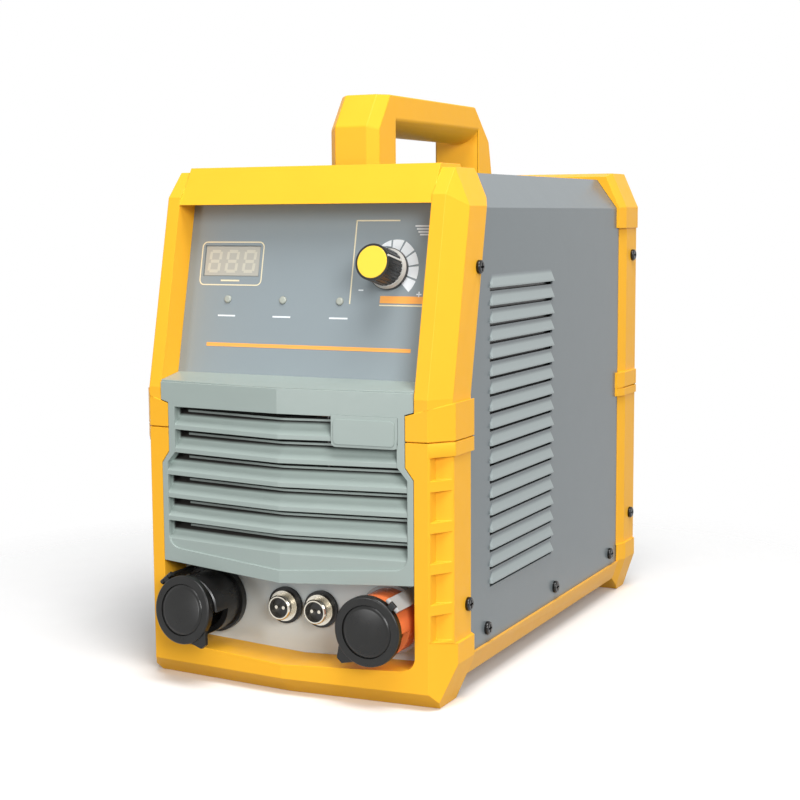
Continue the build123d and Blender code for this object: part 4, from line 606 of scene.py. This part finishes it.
# Dark disc on the inner side of the fan, painted shade that keeps daylight out of the housing
shade_disc_steps = 48
shade_disc_radius = 58.8 * MM
shade_disc_thickness = 0.8 * MM
fan_low, fan_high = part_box("fan_frame")
fan_middle = (fan_low + fan_high) / 2
shade_disc_angles = [2 * pi * step / shade_disc_steps for step in range(shade_disc_steps)]
shade_disc_outline = [
    (fan_middle.x + shade_disc_radius * cos(angle), fan_middle.z + shade_disc_radius * sin(angle))
    for angle in shade_disc_angles
]


def facing_front(x, z, y):
    """Point on an upright plane across the machine."""
    return Vector((x, y, z))


# Painted shade: a black disc where the inside behind the fan is only in shade
fan_shade_disc = plate(shade_disc_outline, facing_front, fan_low.y - shade_disc_thickness, fan_low.y)
add_piece("fan_shade_disc", fan_shade_disc, "black_plastic")

# Dark sheet behind each bank of louvres, painted shade standing in for the shade inside the housing
louvre_shade_sheet_x = mm(102.8, 102.0)  # outer and inner side
louvre_shade_sheet_start, louvre_shade_sheet_end = [front + back for back in mm(72.0, 195.0)]
louvre_shade_sheet_low, louvre_shade_sheet_high = mm(58.0, 277.0)
louvre_shade_sheet_outline = [
    (louvre_shade_sheet_start, louvre_shade_sheet_low),
    (louvre_shade_sheet_end, louvre_shade_sheet_low),
    (louvre_shade_sheet_end, louvre_shade_sheet_high),
    (louvre_shade_sheet_start, louvre_shade_sheet_high),
]


def facing_side(y, z, x):
    """Point on an upright plane along the machine."""
    return Vector((x, y, z))


for side, side_name in ((-1, "left"), (1, "right")):
    shade_sheet_sides = [side * x for x in louvre_shade_sheet_x]
    # Painted shade: a black sheet behind the louvres, where the inside of the housing is only in shade
    louvre_shade_sheet = plate(louvre_shade_sheet_outline[::side], facing_side, *shade_sheet_sides)
    add_piece(f"louvre_shade_sheet_{side_name}", louvre_shade_sheet, "black_plastic")

# Domes in the dishes of the two socket caps
cap_hinge_radius = 24.2 * MM
cap_dish_floor = 1.9 * MM  # in front of the hinge
dome_radius, dome_edge, dome_height = mm(16.35, 0.75, 1.3)
dome_rings = 6
dome_steps = 40
dome_profile = []
for ring in range(1, dome_rings):
    share = ring / dome_rings
    dome_profile.append((dome_radius * share, dome_edge + dome_height * (1 - share**2)))
dome_profile += [(dome_radius, dome_edge), (dome_radius, 0)]


def dome_points(hinge, axis, opened):
    """Rings of a cap's dome, with the cap opened by an angle in degrees."""
    outward = Vector((axis.z, 0, -axis.x))
    swing = Matrix.Rotation(radians(opened), 3, axis)
    cap_middle = Vector((0, -cap_dish_floor, 0)) - outward * cap_hinge_radius
    points = []
    for radius, height in dome_profile:
        for step in range(dome_steps):
            angle = 2 * pi * step / dome_steps
            spot = (outward * cos(angle) + axis * sin(angle)) * radius + Vector((0, -height, 0))
            points.append(hinge + swing @ (cap_middle + spot))
    return points


dome_faces = [list(range(dome_steps))]
dome_faces.append(list(range((dome_rings + 1) * dome_steps - 1, dome_rings * dome_steps - 1, -1)))
for ring in range(dome_rings):
    for step in range(dome_steps):
        after = (step + 1) % dome_steps
        ring_start = ring * dome_steps
        next_start = ring_start + dome_steps
        dome_faces.append([ring_start + step, next_start + step, next_start + after, ring_start + after])
for cap in ("black_cap", "red_cap"):
    joint = joints[f"{cap}_swing"]
    closed = joint["range_deg"][0]
    points = dome_points(Vector(joint["pos_m"]), Vector(joint["axis"]), -closed)
    dome = add_piece(f"{cap}_dome", (points, dome_faces), "black_rubber", cap)
    dome.data.shade_smooth()

# Small rounded edges on the moulded and folded pieces
edge_widths = {
    "front_frame_upper": 0.38 * MM,
    "front_frame_lower": 0.38 * MM,
    "rear_frame_upper": 0.38 * MM,
    "rear_frame_lower": 0.38 * MM,
    "carry_handle": 1.0 * MM,
    "louvre_grille": 0.3 * MM,
    "base_tray": 0.5 * MM,
}
clamped_edges = ("base_tray",)  # thin walls, where a rounding must not run over the next edge
edge_angle = radians(22)
weld_distance = 0.01 * MM
for name, width in edge_widths.items():
    node = nodes[name]
    weld = node.modifiers.new("weld", "WELD")
    weld.merge_threshold = weld_distance
    edges = node.modifiers.new("edges", "BEVEL")
    edges.width = width
    edges.segments = edge_segments
    edges.limit_method = "ANGLE"
    edges.angle_limit = edge_angle
    edges.harden_normals = True
    edges.use_clamp_overlap = name in clamped_edges

# Floor
floor_half = 6.0
floor_fade = (0.24, 0.5)  # from the middle: where the floor starts to fade, and where it is gone
floor_paper = (linear(250, 250, 250), linear(254, 254, 254))
floor_paper_scale = 40
floor_bounce = linear(150, 150, 150)  # what the object gets back from it


def floor_material():
    """White paper that fades into the white surround away from the object."""
    made = Shader("floor")
    made.set(Roughness=0.8)
    paper = made.mix(made.noise(floor_paper_scale), *floor_paper)
    made.colour(made.mix(made.seen_directly(), floor_bounce, paper))
    distance = made.node("ShaderNodeVectorMath", operation="LENGTH")
    made.links.new(made.place, distance.inputs[0])
    fade = made.span(distance.outputs["Value"], 1, 0, *floor_fade)
    made.links.new(fade, made.surface.inputs["Alpha"])
    return made.material


floor_corners = [(x * floor_half, y * floor_half, 0) for x, y in ((-1, -1), (1, -1), (1, 1), (-1, 1))]
floor_mesh = bpy.data.meshes.new("floor")
floor_mesh.from_pydata(floor_corners, [], [(0, 1, 2, 3)])
floor_mesh.materials.append(floor_material())
floor = bpy.data.objects.new("floor", floor_mesh)
bpy.context.scene.collection.objects.link(floor)

# Lights: place, size and watts
light_aim = Vector((0, 0, 0.18))
lights = {
    "key": ((1.62, -1.65, 1.05), 0.9, 35),
    "top": ((0.5, -0.6, 1.9), 1.0, 30),
    "fill": ((-0.75, -2.25, 0.25), 0.4, 8.5),
}
for name, (place, size, power) in lights.items():
    light = bpy.data.lights.new(name, "AREA")
    light.shape = "SQUARE"
    light.size = size
    light.energy = power
    lamp = bpy.data.objects.new(name, light)
    lamp.location = place
    lamp.rotation_mode = "QUATERNION"
    lamp.rotation_quaternion = (light_aim - Vector(place)).to_track_quat("-Z", "Y")
    bpy.context.scene.collection.objects.link(lamp)

# World: an even light on the object, and plain white where it is seen
white = (1, 1, 1, 1)
world_light = 0.3
world_seen = 1.0
world = bpy.data.worlds.new("studio")
bpy.context.scene.world = world
world.use_nodes = True
studio = Tree(world.node_tree)
surround = studio.nodes["Background"]
backdrop = studio.node("ShaderNodeBackground")
for background, strength in ((surround, world_light), (backdrop, world_seen)):
    background.inputs["Color"].default_value = white
    background.inputs["Strength"].default_value = strength
choose = studio.node("ShaderNodeMixShader")
studio.links.new(studio.seen_directly(), choose.inputs["Fac"])
studio.links.new(surround.outputs[0], choose.inputs[1])
studio.links.new(backdrop.outputs[0], choose.inputs[2])
studio.links.new(choose.outputs[0], studio.nodes["World Output"].inputs["Surface"])

# Camera, found from the photograph
image_size = 800  # pixels
camera_focus = 1556  # pixels
sensor = 36  # millimetres
camera_yaw = radians(26.18)
camera_pitch = radians(6.70)
camera_roll = radians(0.357)
camera_place = Vector((0.486, front - 0.8238, 0.2974))
forward = Vector(
    (-sin(camera_yaw) * cos(camera_pitch), cos(camera_yaw) * cos(camera_pitch), -sin(camera_pitch))
)
level = Vector((cos(camera_yaw), sin(camera_yaw), 0))
down = forward.cross(level)
image_right = level * cos(camera_roll) + down * sin(camera_roll)
image_up = level * sin(camera_roll) - down * cos(camera_roll)
camera_data = bpy.data.cameras.new("camera")
camera_data.sensor_width = sensor
camera_data.lens = camera_focus / image_size * sensor
camera = bpy.data.objects.new("camera", camera_data)
turn = Matrix((image_right, image_up, -forward)).transposed()
camera.matrix_world = Matrix.Translation(camera_place) @ turn.to_4x4()
bpy.context.scene.collection.objects.link(camera)
bpy.context.scene.camera = camera
bpy.context.scene.view_settings.view_transform = "Standard"
